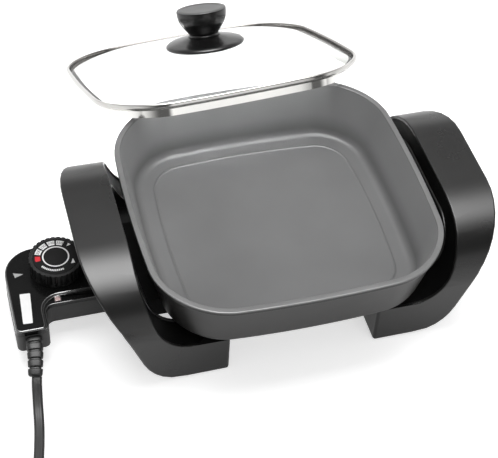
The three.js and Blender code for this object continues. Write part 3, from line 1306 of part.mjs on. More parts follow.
addPiece(drawn, 'strain_relief', geometryOf(makeRelief()), RUBBER);

// The loose cord and what is on it don't count in the box that sets the origin
part.updateMatrixWorld(true);
const bounds = new THREE.Box3().setFromObject(drawn, true);
addPiece(drawn, 'cord_run', makeCordRun(), RUBBER);
addPiece(drawn, 'cord_coil', geometryOf(loft(flatRings(coilPlaces(COIL_STEPS_PER_TURN), coilSection()), false)),
  RUBBER);
addPiece(drawn, 'cord_tie', geometryOf(makeTie()), BLACK_MATT);
addPiece(drawn, 'plug', geometryOf(makePlug()), RUBBER);
addPiece(drawn, 'plug_blade_front', geometryOf(bladeSolid(-1, 0, 0)), BRASS);
addPiece(drawn, 'plug_blade_rear', geometryOf(bladeSolid(1, 0, 0)), BRASS);
const middle = bounds.getCenter(unit(0, 0, 0));
drawn.position.set(-middle.x, -middle.y, -bounds.min.z);
console.log(`least gap between the coil's turns: ${coilGap().toFixed(2)} mm`);

export default part;
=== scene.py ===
# %% [markdown]
# # An electric skillet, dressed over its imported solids
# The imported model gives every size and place. This notebook loads it as a fixed frame, sets the
# camera where the photograph was taken, and then makes the pieces and finishes one after another.
# Each piece could be modelled by hand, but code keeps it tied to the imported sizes.

# %% Load the frame
import math
import bmesh
import bpy
from mathutils import Matrix, Vector


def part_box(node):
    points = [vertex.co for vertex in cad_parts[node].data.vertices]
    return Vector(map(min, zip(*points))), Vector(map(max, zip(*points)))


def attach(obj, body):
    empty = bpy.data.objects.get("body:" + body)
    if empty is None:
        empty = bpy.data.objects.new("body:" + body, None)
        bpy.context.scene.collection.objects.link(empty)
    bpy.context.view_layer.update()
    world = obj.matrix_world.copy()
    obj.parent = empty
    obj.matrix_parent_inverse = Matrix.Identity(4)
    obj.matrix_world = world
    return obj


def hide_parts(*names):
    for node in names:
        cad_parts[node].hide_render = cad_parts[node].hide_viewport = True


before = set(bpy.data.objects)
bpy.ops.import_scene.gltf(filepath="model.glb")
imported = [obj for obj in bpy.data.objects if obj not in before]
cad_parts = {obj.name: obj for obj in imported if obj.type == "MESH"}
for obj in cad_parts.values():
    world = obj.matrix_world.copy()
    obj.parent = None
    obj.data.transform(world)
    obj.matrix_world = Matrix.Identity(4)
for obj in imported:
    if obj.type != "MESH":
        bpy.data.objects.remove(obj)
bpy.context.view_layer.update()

MM = 0.001
pan_low, pan_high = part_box("pan")
pan_middle = (pan_low + pan_high) / 2


def at(x, y, z):
    """A place in millimetres from the pan's middle on the table, as metres in the frame."""
    return Vector((pan_middle.x + x * MM, pan_middle.y + y * MM, z * MM))


print("nodes", len(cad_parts), "pan middle", tuple(round(v, 4) for v in pan_middle))

# %% [markdown]
# ## Camera
# The photograph looks down at the skillet from the front left, from about a metre and a half. The
# camera could be aimed with a Track To constraint, but a measured place and turn repeat the view
# exactly. The three columns below are its right, its up and the direction away from the skillet.

# %% Camera
SENSOR, LENS = 36, 97.7465
CAMERA_PLACE = (-327.95, -906.97, 1100.89)
camera = bpy.data.objects.new("camera", bpy.data.cameras.new("camera"))
bpy.context.scene.collection.objects.link(camera)
camera.data.sensor_width, camera.data.lens = SENSOR, LENS
turn = Matrix((
    (0.96256098, 0.16536046, -0.21478424),
    (-0.26685703, 0.71716326, -0.64378893),
    (0.04757813, 0.67700279, 0.73444097),
)).to_4x4()
camera.matrix_world = Matrix.Translation(at(*CAMERA_PLACE)) @ turn
bpy.context.scene.camera = camera
print("camera", tuple(round(v, 3) for v in camera.location))

# %% [markdown]
# ## Helpers for skins
# Most of the skillet's shapes are skins stretched over rings, as a shipwright's planks over ribs.
# Blender could bridge edge loops in edit mode. One function that joins lists of points does the
# same work, and is exact.

# %% Skin over rings
def as_piece(name, work):
    """Turns a finished bmesh into an object of the scene."""
    mesh = bpy.data.meshes.new(name)
    work.to_mesh(mesh)
    work.free()
    piece = bpy.data.objects.new(name, mesh)
    bpy.context.scene.collection.objects.link(piece)
    return piece


def skin(name, shells, closed=False):
    """Joins each shell's rings of points into one mesh. An open shell gets two caps."""
    work = bmesh.new()
    for rings in shells:
        rows = [[work.verts.new(p) for p in ring] for ring in rings]
        count = len(rows[0])
        for r in range(len(rows) if closed else len(rows) - 1):
            here, there = rows[r], rows[(r + 1) % len(rows)]
            for i in range(count):
                j = (i + 1) % count
                work.faces.new((here[i], here[j], there[j], there[i]))
        if not closed:
            work.faces.new(list(reversed(rows[0])))
            work.faces.new(rows[-1])
    bmesh.ops.recalc_face_normals(work, faces=work.faces)
    piece = as_piece(name, work)
    piece.data.shade_smooth()
    return piece


# %% Rounded outlines
LONGEST_CUT = 0.45


def softened(points, radius, closed=False, steps=5):
    """A line of (across, up) points with each corner replaced by a small arc."""
    result = []
    last = len(points) - 1
    for i, here in enumerate(points):
        here = Vector(here)
        if not closed and i in (0, last):
            result.append(here)
            continue
        before = Vector(points[i - 1]) - here
        after = Vector(points[(i + 1) % len(points)]) - here
        reach = min(radius, before.length * LONGEST_CUT, after.length * LONGEST_CUT)
        start, end = here + before.normalized() * reach, here + after.normalized() * reach
        for s in range(steps + 1):
            t = s / steps
            result.append(start * (1 - t) ** 2 + here * (2 * t * (1 - t)) + end * t * t)
    return result


def smooth_line(points, steps):
    """A curve through all the points, which may be flat or in space (Catmull-Rom)."""
    points = [Vector(p) for p in points]
    padded = [points[0] * 2 - points[1], *points, points[-1] * 2 - points[-2]]
    result = []
    for a, b, c, d in zip(padded, padded[1:], padded[2:], padded[3:]):
        for s in range(steps):
            t = s / steps
            result.append(0.5 * (2 * b + (c - a) * t + (2 * a - 5 * b + 4 * c - d) * t ** 2
                                 + (3 * b - a - 3 * c + d) * t ** 3))
    return [*result, points[-1]]


# %% [markdown]
# ## The cord's route
# The lead is a flat twin cord, 10 mm wide. It leaves a ribbed boot, sags to the table and runs
# forward, out of the photograph. Its spare length is kept in a small coil just outside the view,
# held by a strap, with the plug on its tail. A bevelled curve would give a round cord, so the flat
# section is swept along the route in code, always lying level.

# %% Points of the cord
CORD_WIDTH, CORD_THICKNESS = 10, 5.6
RUN = [
    (-267.6, -105.8, 24.2), (-268.8, -111.5, 21.2), (-269.8, -118, 16.6), (-270.8, -125, 12),
    (-271.8, -132.5, 8), (-272.8, -141, 5.2), (-274, -150, 3.9), (-275.6, -160, 3.2),
    (-277.6, -171, 3.1), (-280, -183, 3.1), (-282.6, -196, 3.1), (-285.2, -209.5, 3.2),
    (-287.4, -223.5, 3.6), (-289, -238, 3.8), (-289.9, -252, 3.9),
]
COIL_X, COIL_Y, COIL_BASE = -229.5, -278, 1.1
COIL_RADIUS, COIL_PITCH, COIL_TURNS = 60.5, 10.9, 2.25
CLIMB_START, CLIMB_TURNS, LAYER_GAP = 0.8, 0.5, 0.6
STEPS_A_TURN, TAIL_REACHES = 48, (15, 30, 46)


def coil_place(turns):
    """The middle of the coiled cord: it spirals in on the table, climbs, and spirals out on top."""
    inward = turns if turns < COIL_TURNS / 2 else COIL_TURNS - turns
    radius = COIL_RADIUS - COIL_PITCH * inward
    angle = math.pi + 2 * math.pi * turns
    share = min(1, max(0, (turns - CLIMB_START) / CLIMB_TURNS))
    climb = share * share * (3 - 2 * share)
    height = COIL_BASE + CORD_THICKNESS / 2 + climb * (CORD_THICKNESS + LAYER_GAP)
    return (COIL_X + radius * math.cos(angle), COIL_Y + radius * math.sin(angle), height)


coil_steps = round(COIL_TURNS * STEPS_A_TURN)
coil = [coil_place(COIL_TURNS * i / coil_steps) for i in range(coil_steps + 1)]
tail_x, tail_y, tail_z = coil[-1]
tail = [(tail_x + out, tail_y, tail_z) for out in TAIL_REACHES]
route = [at(*p) for p in [*smooth_line([*RUN, coil[0]], 4), *coil[1:], *tail]]

# %% Cord mesh
GROOVE_START = 125


def cord_section():
    """Two round cores side by side, joined by a web. Each core ends where its groove starts."""
    core = CORD_THICKNESS / 2
    shift = CORD_WIDTH / 2 - core
    lobe = [(shift + core * math.cos(math.radians(a)), core * math.sin(math.radians(a)))
            for a in range(-GROOVE_START, GROOVE_START + 1, 25)]
    return [*lobe, *[(-u, -v) for u, v in lobe]]


def swept(places, sections):
    """Rings of a level section along places. A section is a list of (across, up) in millimetres."""
    rings = []
    for i, place in enumerate(places):
        ahead = (places[min(i + 1, len(places) - 1)] - places[max(i - 1, 0)]).normalized()
        side = Vector((0, 0, 1)).cross(ahead).normalized()
        up = ahead.cross(side)
        rings.append([place + side * (u * MM) + up * (v * MM) for u, v in sections[i]])
    return rings


cord = skin("cord", [swept(route, [cord_section()] * len(route))])
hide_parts("cord_run", "cord_coil")
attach(cord, "control")
print("cord faces", len(cord.data.polygons))

# %% [markdown]
# ## Strain relief
# The soft boot keeps the lead from bending sharply at the housing. Four thick ribs shrink towards
# the cord, with deep grooves between them, and the boot droops with the lead. A screw modifier
# could make round ribs, but these are flattened, so each ring is drawn as a squared-up circle.

# %% Shape of the strain relief
TAIL_X, TAIL_END_Y, PROBE_HEIGHT = -263.5, -69, 36
RELIEF_LENGTH, RELIEF_WIDTH, RELIEF_THICKNESS, RELIEF_TAPER, RELIEF_GROOVE = 36, 17, 12, 3, 1.6
DROOP_ASIDE, DROOP_DOWN = 5.5, 11.5
RIBS, SQUARENESS = 4, 0.7


def relief_place(share):
    """The middle line of the boot, straight inside the housing and drooping outside it."""
    out = max(0, share)
    return at(TAIL_X - DROOP_ASIDE * out ** 1.5, TAIL_END_Y - share * RELIEF_LENGTH,
              PROBE_HEIGHT - DROOP_DOWN * out ** 1.6)


def squared_circle(half_width, half_height, count=40):
    """A circle squared up a little and stretched to a width and a height."""
    ring = []
    for i in range(count):
        turn = 2 * math.pi * i / count
        u, v = math.cos(turn), math.sin(turn)
        ring.append((math.copysign(abs(u) ** SQUARENESS, u) * half_width,
                     math.copysign(abs(v) ** SQUARENESS, v) * half_height))
    return ring


# %% Strain relief
FLANGE = [(-0.147, 0), (-0.073, 0), (-0.07, 3.4), (0.008, 3.4), (0.01, 0.5), (0.03, 0)]
RIB = [(-0.03, 0), (0.03, 0.15), (0.07, 0.8), (0.11, 1), (0.25, 1), (0.29, 0.8), (0.33, 0.15),
       (0.39, 0)]
rib_step = 1 / (RIBS + 0.6)
stations = list(FLANGE)
for rib in range(RIBS):
    start = (rib + 0.5) * rib_step
    taper = RELIEF_TAPER * start / 2
    stations += [(start + rib_step * part, taper + RELIEF_GROOVE * deep) for part, deep in RIB]
stations += [(0.955, RELIEF_TAPER / 2), (0.985, RELIEF_TAPER * 0.65), (1, RELIEF_TAPER)]
stations = sorted(stations)
sections = [squared_circle(RELIEF_WIDTH / 2 - cut, RELIEF_THICKNESS / 2 - cut)
            for _, cut in stations]
relief = skin("strain_boot", [swept([relief_place(share) for share, _ in stations], sections)])
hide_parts("strain_relief")
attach(relief, "control")
print("relief rings", len(stations))

# %% [markdown]
# ## Plug and tie
# The plug is moulded on the lead's tail and widens to a flat face with two blades. The coil is held
# by a hook-and-loop strap, a thin band round both layers. Both are made from rings again: the plug
# from squared circles that grow, and the strap from a rounded rectangle swept once round the cords.

# %% Plug
PLUG_GROWTH = [(0, 0), (0.18, 0.15), (0.3, 0.75), (0.45, 1), (0.8, 1), (0.92, 0.96), (1, 0.85)]
PLUG_START, PLUG_LENGTH, PLUG_NECK, PLUG_WIDENING, TABLE_GAP = 46.3, 34, 7, 6, 0.3
plug_back = Vector((tail_x + PLUG_START, tail_y, tail_z))
plug_rings = []
for along, grown in smooth_line(PLUG_GROWTH, 5):
    half = PLUG_NECK + PLUG_WIDENING * grown
    height = CORD_THICKNESS + (tail_z - TABLE_GAP - CORD_THICKNESS) * grown
    plug_rings.append([at(plug_back.x + along * PLUG_LENGTH, plug_back.y + u * half,
                          plug_back.z + v * height) for u, v in squared_circle(1, 1, 36)])
plug = skin("plug_body", [plug_rings])
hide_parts("plug")
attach(plug, "control")

# %% Tie
STRAP_ROUNDING = 3.4
STRAP_SIDES = [(0, -5.8), (0.1, -6), (0.7, -6), (0.8, -5.8), (0.8, 5.8), (0.7, 6), (0.1, 6),
               (0, 5.8)]
tie_low, tie_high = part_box("cord_tie")
tie_middle = (tie_low + tie_high) / 2
half_x, half_z = (tie_high.x - tie_low.x) / 2 / MM, (tie_high.z - tie_low.z) / 2 / MM


def strap_loop(inset):
    """The strap's loop, seen along the cord."""
    corners = [(-half_x + inset, -half_z + inset), (half_x - inset, -half_z + inset),
               (half_x - inset, half_z - inset), (-half_x + inset, half_z - inset)]
    return softened(corners, STRAP_ROUNDING - inset, closed=True, steps=6)


tie_rings = [[tie_middle + Vector((u * MM, y * MM, v * MM)) for u, v in strap_loop(inset)]
             for inset, y in STRAP_SIDES]
tie = skin("strap", [tie_rings], closed=True)
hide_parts("cord_tie")
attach(tie, "control")
print("strap", round(half_x * 2, 1), "by", round(half_z * 2, 1), "mm")

# %% [markdown]
# ## Pan
# The pan is one aluminium casting with a stone-grey non-stick coating inside and a darker coat
# outside. Its outline is a rounded square whose sides bow out a little. It could be a subdivided
# box, but then the bow and the corner would drift. Rings drawn by the same rule as the solid keep
# its size, and small arcs at the lip, the heel and the cove catch the light as a casting does.
# Below, the casting has four bosses for the screws, and a well that takes the control's probe.

# %% Rounded-square rings
PAN_HALF, PAN_CORNER, PAN_BOW = 152.5, 73, 9.2
SIDE_STEPS, CORNER_STEPS = 6, 20


def pulled_in(along, across, half, bow):
    """Pulls the ends of a side in, so that its middle bows out."""
    reach = min(1, abs(along) / half)
    return along - math.copysign(bow * (across / half) ** 2 * reach ** 3, along)


def rounded_square(half, corner, bow):
    """A rounded square with bowed sides, in millimetres."""
    flat = half - corner
    quarter = [(half, flat * i / SIDE_STEPS) for i in range(SIDE_STEPS)]
    for i in range(CORNER_STEPS):
        turn = math.pi / 2 * i / CORNER_STEPS
        quarter.append((flat + corner * math.cos(turn), flat + corner * math.sin(turn)))
    quarter += [(flat * (1 - i / SIDE_STEPS), half) for i in range(SIDE_STEPS)]
    ring = []
    for c, s in ((1, 0), (0, 1), (-1, 0), (0, -1)):
        for px, py in quarter:
            x, y = px * c - py * s, px * s + py * c
            ring.append((pulled_in(x, y, half, bow), pulled_in(y, x, half, bow)))
    return ring


def pan_ring(inset, z):
    """A ring of the pan, drawn in from its outer edge."""
    half = PAN_HALF - inset
    outline = rounded_square(half, PAN_CORNER - inset, PAN_BOW * half / PAN_HALF)
    return [at(x, y, z) for x, y in outline]


# %% Pan body
UNDERSIDE, FLOOR, RIM = 58, 63, 123


def rounded_profile(rows):
    """Each row is (inset, height, radius of the corner there)."""
    points = []
    for i, (inset, z, radius) in enumerate(rows):
        if i in (0, len(rows) - 1) or radius == 0:
            points.append((inset, z))
            continue
        three = [rows[i - 1][:2], (inset, z), rows[i + 1][:2]]
        points += [tuple(p) for p in softened(three, radius, steps=7)[1:-1]]
    return points


pan_profile = rounded_profile([
    (62, UNDERSIDE, 0), (16.2, UNDERSIDE, 9), (1.8, RIM - 6, 0.8), (0, RIM - 4.7, 0.8),
    (0, RIM, 1.3), (6.0, RIM, 1.1), (20.9, FLOOR, 9), (39.2, FLOOR, 0.6), (40.7, FLOOR + 0.8, 0.6),
    (42.2, FLOOR, 0.6), (62, FLOOR, 0),
])
pan = skin("pan_body", [[pan_ring(*p) for p in pan_profile]])
print("pan rings", len(pan_profile), "faces", len(pan.data.polygons))

# %% Bosses under the pan
BOSS_X, BOSS_Y, BOSS_RADIUS, BOSS_LOW = 122, 42, 6, 47.3
INSIDE_CASTING, CHAMFER = 60, 0.6
BOSS_STEPS = 32
circle = [(math.cos(2 * math.pi * i / BOSS_STEPS), math.sin(2 * math.pi * i / BOSS_STEPS))
          for i in range(BOSS_STEPS)]


def post(x, y, radius, low, high):
    """Rings of an upright round post with a small chamfer at its foot."""
    rows = [(radius - CHAMFER, low), (radius, low + CHAMFER), (radius, high)]
    return [[at(x + u * r, y + v * r, z) for u, v in circle] for r, z in rows]


posts = [post(side * BOSS_X, end * BOSS_Y, BOSS_RADIUS, BOSS_LOW, INSIDE_CASTING)
         for side in (-1, 1) for end in (-1, 1)]
pan_extra = skin("pan_bosses", posts)
print("bosses", len(posts))

# %% Probe well under the pan
WELL_OUTER, WELL_INNER, WELL_HALF, WELL_LOW, WELL_ROUNDING = -105.7, -61.7, 8, 29.5, 1.5
well_middle = (WELL_OUTER + WELL_INNER) / 2
block = [(WELL_OUTER, -WELL_HALF), (WELL_INNER, -WELL_HALF), (WELL_INNER, WELL_HALF),
         (WELL_OUTER, WELL_HALF)]
well_rings = []
for inset, z in ((CHAMFER, WELL_LOW), (0, WELL_LOW + CHAMFER), (0, INSIDE_CASTING)):
    drawn_in = [(x + (inset if x < well_middle else -inset), y - math.copysign(inset, y))
                for x, y in block]
    outline = softened(drawn_in, WELL_ROUNDING, closed=True, steps=4)
    well_rings.append([at(x, y, z) for x, y in outline])
well = skin("probe_well", [well_rings])
for piece in (pan, pan_extra, well):
    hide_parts("pan")
    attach(piece, "skillet")
print("well", round(WELL_INNER - WELL_OUTER, 1), "mm long")

# %% [markdown]
# ## Lid
# The lid leans on the pan, tilted and turned a little. Its pieces are drawn flat in the lid's own
# frame, with the top edge of the glass at height zero, and then carried to the lean by one matrix.
# Parenting to an empty would do as well, but points already in place are simpler to check.

# %% Lid frame
LID_HALF, LID_CORNER, LID_BOW = 153.5, 78, 8
LID_PLACE, LID_TURN, LID_LEAN = (-6.5, 252.431, 82.521), 3.3, -27.7
lid_pose = (Matrix.Translation(at(*LID_PLACE)) @ Matrix.Rotation(math.radians(LID_TURN), 4, "Z")
            @ Matrix.Rotation(math.radians(LID_LEAN), 4, "X"))


def on_lid(x, y, z):
    """A place in the lid's own frame, in millimetres, carried to where the lid leans."""
    return lid_pose @ Vector((x * MM, y * MM, z * MM))


def lid_ring(inset, z, shrink=False):
    """A ring of the lid. A shrunk ring keeps the outline's shape, and a plain one its distance."""
    half = LID_HALF - inset
    corner = LID_CORNER * half / LID_HALF if shrink else LID_CORNER - inset
    return [on_lid(x, y, z) for x, y in rounded_square(half, corner, LID_BOW * half / LID_HALF)]


print("lid leans at", tuple(round(v, 3) for v in lid_pose.translation))

# %% [markdown]
# The lid itself is a dome of clear glass in a band of chromed steel with a stepped skirt. The band
# could be a curve with a bevel profile, and the dome a subdivided grid. Rings of the lid's own
# outline make both, so that they share one shape and meet all the way round.

# %% Chromed band
band_profile = softened([
    (4, 0.2), (0, 0.2), (0, -5.1), (9, -6.2), (9, -17), (10.1, -17), (10.1, -5.1), (4, -5.1),
], 1.7, closed=True, steps=5)
band = skin("lid_rim", [[lid_ring(*p) for p in band_profile]], closed=True)
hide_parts("lid_band")
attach(band, "lid")

# %% Glass
DOME_TOP, GLASS_THICKNESS, DOME_RISE = 19, 3.4, 19 + 2.3
GLASS_ROWS, FLAT_FROM, LAST_ROW, ROW_GATHER = 24, 0.8, 0.97, 1.6
KNOB_HOLE, HOLE_DROP = 3.6, 1.4


def dome_rise(share):
    """How far the glass has risen at a share of the way in from the band."""
    return 1 - (1 - min(1, share / FLAT_FROM)) ** 2


upper = [(4.2, -4.1), (4.4, -3.8), (5, -3.7)]
edge_inset, edge_height = upper[-1]
for i in range(1, GLASS_ROWS + 1):
    share = (i / GLASS_ROWS) ** ROW_GATHER * LAST_ROW
    upper.append((edge_inset + share * (LID_HALF - edge_inset),
                  edge_height + DOME_RISE * dome_rise(share)))
glass_rings = [lid_ring(inset, z, shrink=i > 2) for i, (inset, z) in enumerate(upper)]
hole = [on_lid(KNOB_HOLE * v.x, KNOB_HOLE * v.y, 0) for v in
        (Vector(p).normalized() for p in rounded_square(10, 9.9, 0))]
lift = lid_pose.to_3x3() @ Vector((0, 0, MM))
glass_rings.append([p + lift * (DOME_TOP - HOLE_DROP) for p in hole])
under_rings = [[p - lift * GLASS_THICKNESS for p in ring] for ring in reversed(glass_rings)]
glass = skin("lid_glass_dome", [[*glass_rings, *under_rings]], closed=True)
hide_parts("lid_glass")
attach(glass, "lid")
print("glass faces", len(glass.data.polygons))

# %% [markdown]
# ## Knob
# A plastic rose sits on the glass and a cup-shaped knob on the rose, one screw through both. Both
# are turned shapes. The Screw modifier would spin a profile, but rings keep them in the lid's
# frame.

# %% Knob base
KNOB_SEAT, BASE_HEIGHT, KNOB_HEIGHT = 17.9, 12, 43.5
NECK, BASE_SPREAD, BASE_FOOT, CUP_SPREAD, BORE, TURNED_STEPS = 16, 29, 40, 12.5, 5, 96


def turned(name, profile):
    """A turned piece on the lid's axis: the profile is a list of (radius, height)."""
    turns = [2 * math.pi * i / TURNED_STEPS for i in range(TURNED_STEPS)]
    rings = [[on_lid(r * math.cos(a), r * math.sin(a), z) for a in turns] for r, z in profile]
    piece = skin(name, [rings])
    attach(piece, "lid")
    return piece


BASE_SIDE = [(0.95, 0), (1, 0.1), (0.99, 0.26), (0.9, 0.42), (0.68, 0.58), (0.4, 0.74),
             (0.16, 0.9), (0.05, 1)]
base_side = smooth_line([(NECK + BASE_SPREAD * out, KNOB_SEAT + up * BASE_HEIGHT)
                         for out, up in BASE_SIDE], 6)
base = turned("knob_rose", [(BORE, KNOB_SEAT), (BASE_FOOT, KNOB_SEAT), *base_side,
                            (BORE, KNOB_SEAT + BASE_HEIGHT)])
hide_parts("knob_base")
print("knob base faces", len(base.data.polygons))

# %% Knob
knob_start, knob_top = KNOB_SEAT + BASE_HEIGHT + 0.3, KNOB_SEAT + KNOB_HEIGHT
KNOB_SIDE = [(0.2, 0), (0.1, 0.04), (0.12, 0.1), (0.4, 0.25), (0.7, 0.42), (0.9, 0.6), (0.98, 0.76),
             (1, 0.86), (1, 0.93), (0.94, 0.98)]
KNOB_CROWN = [(26.6, 0.15), (25, 0.02), (22.8, 0)]
KNOB_DISH = [(22.3, 0.12), (21.8, 0.5), (21.2, 0.62), (10, 0.7), (1, 0.7)]
knob_side = smooth_line([(NECK + CUP_SPREAD * out, knob_start + up * (knob_top - knob_start))
                         for out, up in KNOB_SIDE], 5)
knob_face = [(radius, knob_top - down) for radius, down in [*KNOB_CROWN, *KNOB_DISH]]
knob = turned("knob_cup", [(BORE, knob_start), *knob_side, *knob_face])
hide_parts("knob")
print("knob top", round(max(v.co.z for v in knob.data.vertices) / MM, 1), "mm")

# %% [markdown]
# ## Prints on the heat control
# The dial's plate carries a white ring, white boxes with numbers, a red box, two small marks and a
# row of ticks. They are pad-printed on the real dial, so an image texture could carry them. Here
# each is a thin sheet of ink, 0.08 mm thick, so that it keeps a crisp edge without any picture. The
# housing has a bare pale label and a grey pointer, printed in the same way.

# %% Flat prints
DIAL_X, DIAL_Y, PRINT_THICKNESS = -227, 6, 0.08
plate_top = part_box("dial_plate")[1].z / MM
deck_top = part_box("control_upper_shell")[1].z / MM


def printed(name, shapes, z, body):
    """Thin raised shapes: each is an outline of (x, y) in the pan's frame."""
    work = bmesh.new()
    for outline in shapes:
        low, high = [[work.verts.new(at(x, y, level)) for x, y in outline]
                     for level in (z, z + PRINT_THICKNESS)]
        count = len(outline)
        work.faces.new(high)
        work.faces.new(list(reversed(low)))
        for i in range(count):
            j = (i + 1) % count
            work.faces.new((low[i], low[j], high[j], high[i]))
    bmesh.ops.recalc_face_normals(work, faces=work.faces)
    piece = as_piece(name, work)
    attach(piece, body)
    return piece


def on_dial(radius, degrees):
    """A place on the dial. The angle is measured from the right, anticlockwise from above."""
    turn = math.radians(degrees)
    return DIAL_X + radius * math.cos(turn), DIAL_Y + radius * math.sin(turn)


def dial_box(middle, half_turn, inner, outer, steps=6):
    """A box bent round the dial."""
    angles = [middle - half_turn + 2 * half_turn * i / steps for i in range(steps + 1)]
    return [*[on_dial(outer, a) for a in angles], *[on_dial(inner, a) for a in reversed(angles)]]


print("deck", deck_top, "plate", plate_top)

# %% Marks of the dial and the deck
BOX_ANGLES, BOX_INNER, BOX_OUTER = [150, 123, 95, 68], 15.7, 21.6
# the ring is cut in quarters, so that each is one simple outline
quarters = [dial_box(45 * (2 * i + 1), 45, 12.3, 13.7, 20) for i in range(4)]
ring = printed("dial_ring", quarters, plate_top, "dial")
boxes = printed("dial_boxes", [dial_box(a, 10.8, BOX_INNER, BOX_OUTER) for a in BOX_ANGLES],
                plate_top, "dial")
red_box = printed("dial_red_box", [dial_box(178.5, 10, BOX_INNER, 20.9)], plate_top, "dial")
mark = [on_dial(17.5, 41), on_dial(21.8, 45), on_dial(21.8, 36)]
wedge = [on_dial(17.6, 339), on_dial(21.6, 325), on_dial(18.4, 317)]
ticks = [dial_box(249 + 5.8 * i, 2, 17.3, 19.6, 2) for i in range(-6, 7)]
marks = printed("dial_marks", [mark, wedge, *ticks], plate_top, "dial")
label_outline = softened([(-271.6, -59.4), (-262.1, -60), (-258.8, -21.7), (-269.2, -20.9)], 1,
                         closed=True)
blank_label = printed("blank_label", [label_outline], deck_top, "control")
pointer = printed("pointer", [[(-271.3, 8.2), (-270.2, 1.6), (-261.2, 4.8)]], deck_top, "control")
print("prints", len(BOX_ANGLES) + 1, "boxes and", len(ticks), "ticks")

# %% [markdown]
# ## Numbers on the dial
# Each white box carries a temperature. Text objects could stay as they are, but one closed mesh
# made from them is lighter to bake and export. Blender's own font is plain enough for a dial.

# %% Numbers
NUMBER_SIZE, NUMBER_DEPTH, NUMBER_RADIUS, NUMBER_LIFT = 4.6, 0.03, 18.6, 0.12
joined = bmesh.new()
for angle, words in zip(BOX_ANGLES, ("200", "250", "300", "350")):
    line = bpy.data.curves.new("number_" + words, "FONT")
    line.body, line.size, line.extrude = words, NUMBER_SIZE * MM, NUMBER_DEPTH * MM
    line.align_x, line.align_y = "CENTER", "CENTER"
    word = bpy.data.objects.new("number_" + words, line)
    bpy.context.scene.collection.objects.link(word)
    x, y = on_dial(NUMBER_RADIUS, angle)
    word.matrix_world = (Matrix.Translation(at(x, y, plate_top + NUMBER_LIFT))
                         @ Matrix.Rotation(math.radians(angle - 90), 4, "Z"))
    bpy.context.view_layer.update()
    shaped = word.evaluated_get(bpy.context.evaluated_depsgraph_get())
    mesh = bpy.data.meshes.new_from_object(shaped)
    mesh.transform(word.matrix_world)
    joined.from_mesh(mesh)
    bpy.data.objects.remove(word)
bmesh.ops.remove_doubles(joined, verts=joined.verts, dist=0.001 * MM)
numbers = as_piece("dial_numbers", joined)
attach(numbers, "dial")
print("number faces", len(numbers.data.polygons))

# %% [markdown]
# ## Shared effects
# Four effects are used by the finishes, and each is a node group with named inputs. Moulded finish
# gives a slow change of colour, an uneven sheen and a fine grain. Brushed lines give the long fine
# scratches of polished metal. Rubbed edges finds the edges that hands and cloths have worn. Painted
# shade low down darkens the bottom of a deep piece, a painted shade where less light reaches. They
# use each piece's own coordinates, so nothing slides when the camera moves. Each could be wired by
# hand in the shader editor, but a few helpers that make and link one node at a time are easier to
# read here.

# %% Node helpers
def new_group(name, inputs, outputs):
    """A shader node group with named sockets. Inputs give their kind and their usual value."""
    group = bpy.data.node_groups.new(name, "ShaderNodeTree")
    for label, kind, value in inputs:
        socket = group.interface.new_socket(label, in_out="INPUT", socket_type="NodeSocket" + kind)
        socket.default_value = value
    for label, kind in outputs:
        group.interface.new_socket(label, in_out="OUTPUT", socket_type="NodeSocket" + kind)
    return group, group.nodes.new("NodeGroupInput"), group.nodes.new("NodeGroupOutput")


def feed(tree, value, socket):
    """Links a value to a socket, or sets it there if it is a plain number."""
    if isinstance(value, bpy.types.NodeSocket):
        tree.links.new(value, socket)
    else:
        socket.default_value = value


def maths(tree, kind, first, second):
    """Works out one value from two others."""
    node = tree.nodes.new("ShaderNodeMath")
    node.operation = kind
    feed(tree, first, node.inputs[0])
    feed(tree, second, node.inputs[1])
    return node.outputs[0]


def noise(tree, scale, detail, stretch=None):
    """A noise texture on the piece's own coordinates, which can be stretched."""
    place = tree.nodes.new("ShaderNodeTexCoord").outputs["Object"]
    if stretch is not None:
        longer = tree.nodes.new("ShaderNodeVectorMath")
        longer.operation = "MULTIPLY"
        tree.links.new(place, longer.inputs[0])
        tree.links.new(stretch, longer.inputs[1])
        place = longer.outputs["Vector"]
    pattern = tree.nodes.new("ShaderNodeTexNoise")
    pattern.inputs["Detail"].default_value = detail
    tree.links.new(place, pattern.inputs["Vector"])
    feed(tree, scale, pattern.inputs["Scale"])
    return pattern.outputs["Fac"]


# %% Ranges and mixes
NOISE_LOW, NOISE_HIGH = 0.32, 0.68


def between(tree, value, low=0, high=1, from_low=NOISE_LOW, from_high=NOISE_HIGH, smooth=False):
    """Stretches a value from one range over another."""
    ruler = tree.nodes.new("ShaderNodeMapRange")
    if smooth:
        ruler.interpolation_type = "SMOOTHSTEP"
    for label, end in (("Value", value), ("From Min", from_low), ("From Max", from_high),
                       ("To Min", low), ("To Max", high)):
        feed(tree, end, ruler.inputs[label])
    return ruler.outputs["Result"]


def mixed(tree, share, first, second, kind="MIX"):
    """Mixes two colours, or multiplies or adds them."""
    blend = tree.nodes.new("ShaderNodeMix")
    blend.data_type, blend.blend_type = "RGBA", kind
    feed(tree, share, blend.inputs["Factor"])
    tree.links.new(first, blend.inputs["A"])
    tree.links.new(second, blend.inputs["B"])
    return blend.outputs["Result"]


print("noise is stretched from", NOISE_LOW, "to", NOISE_HIGH)

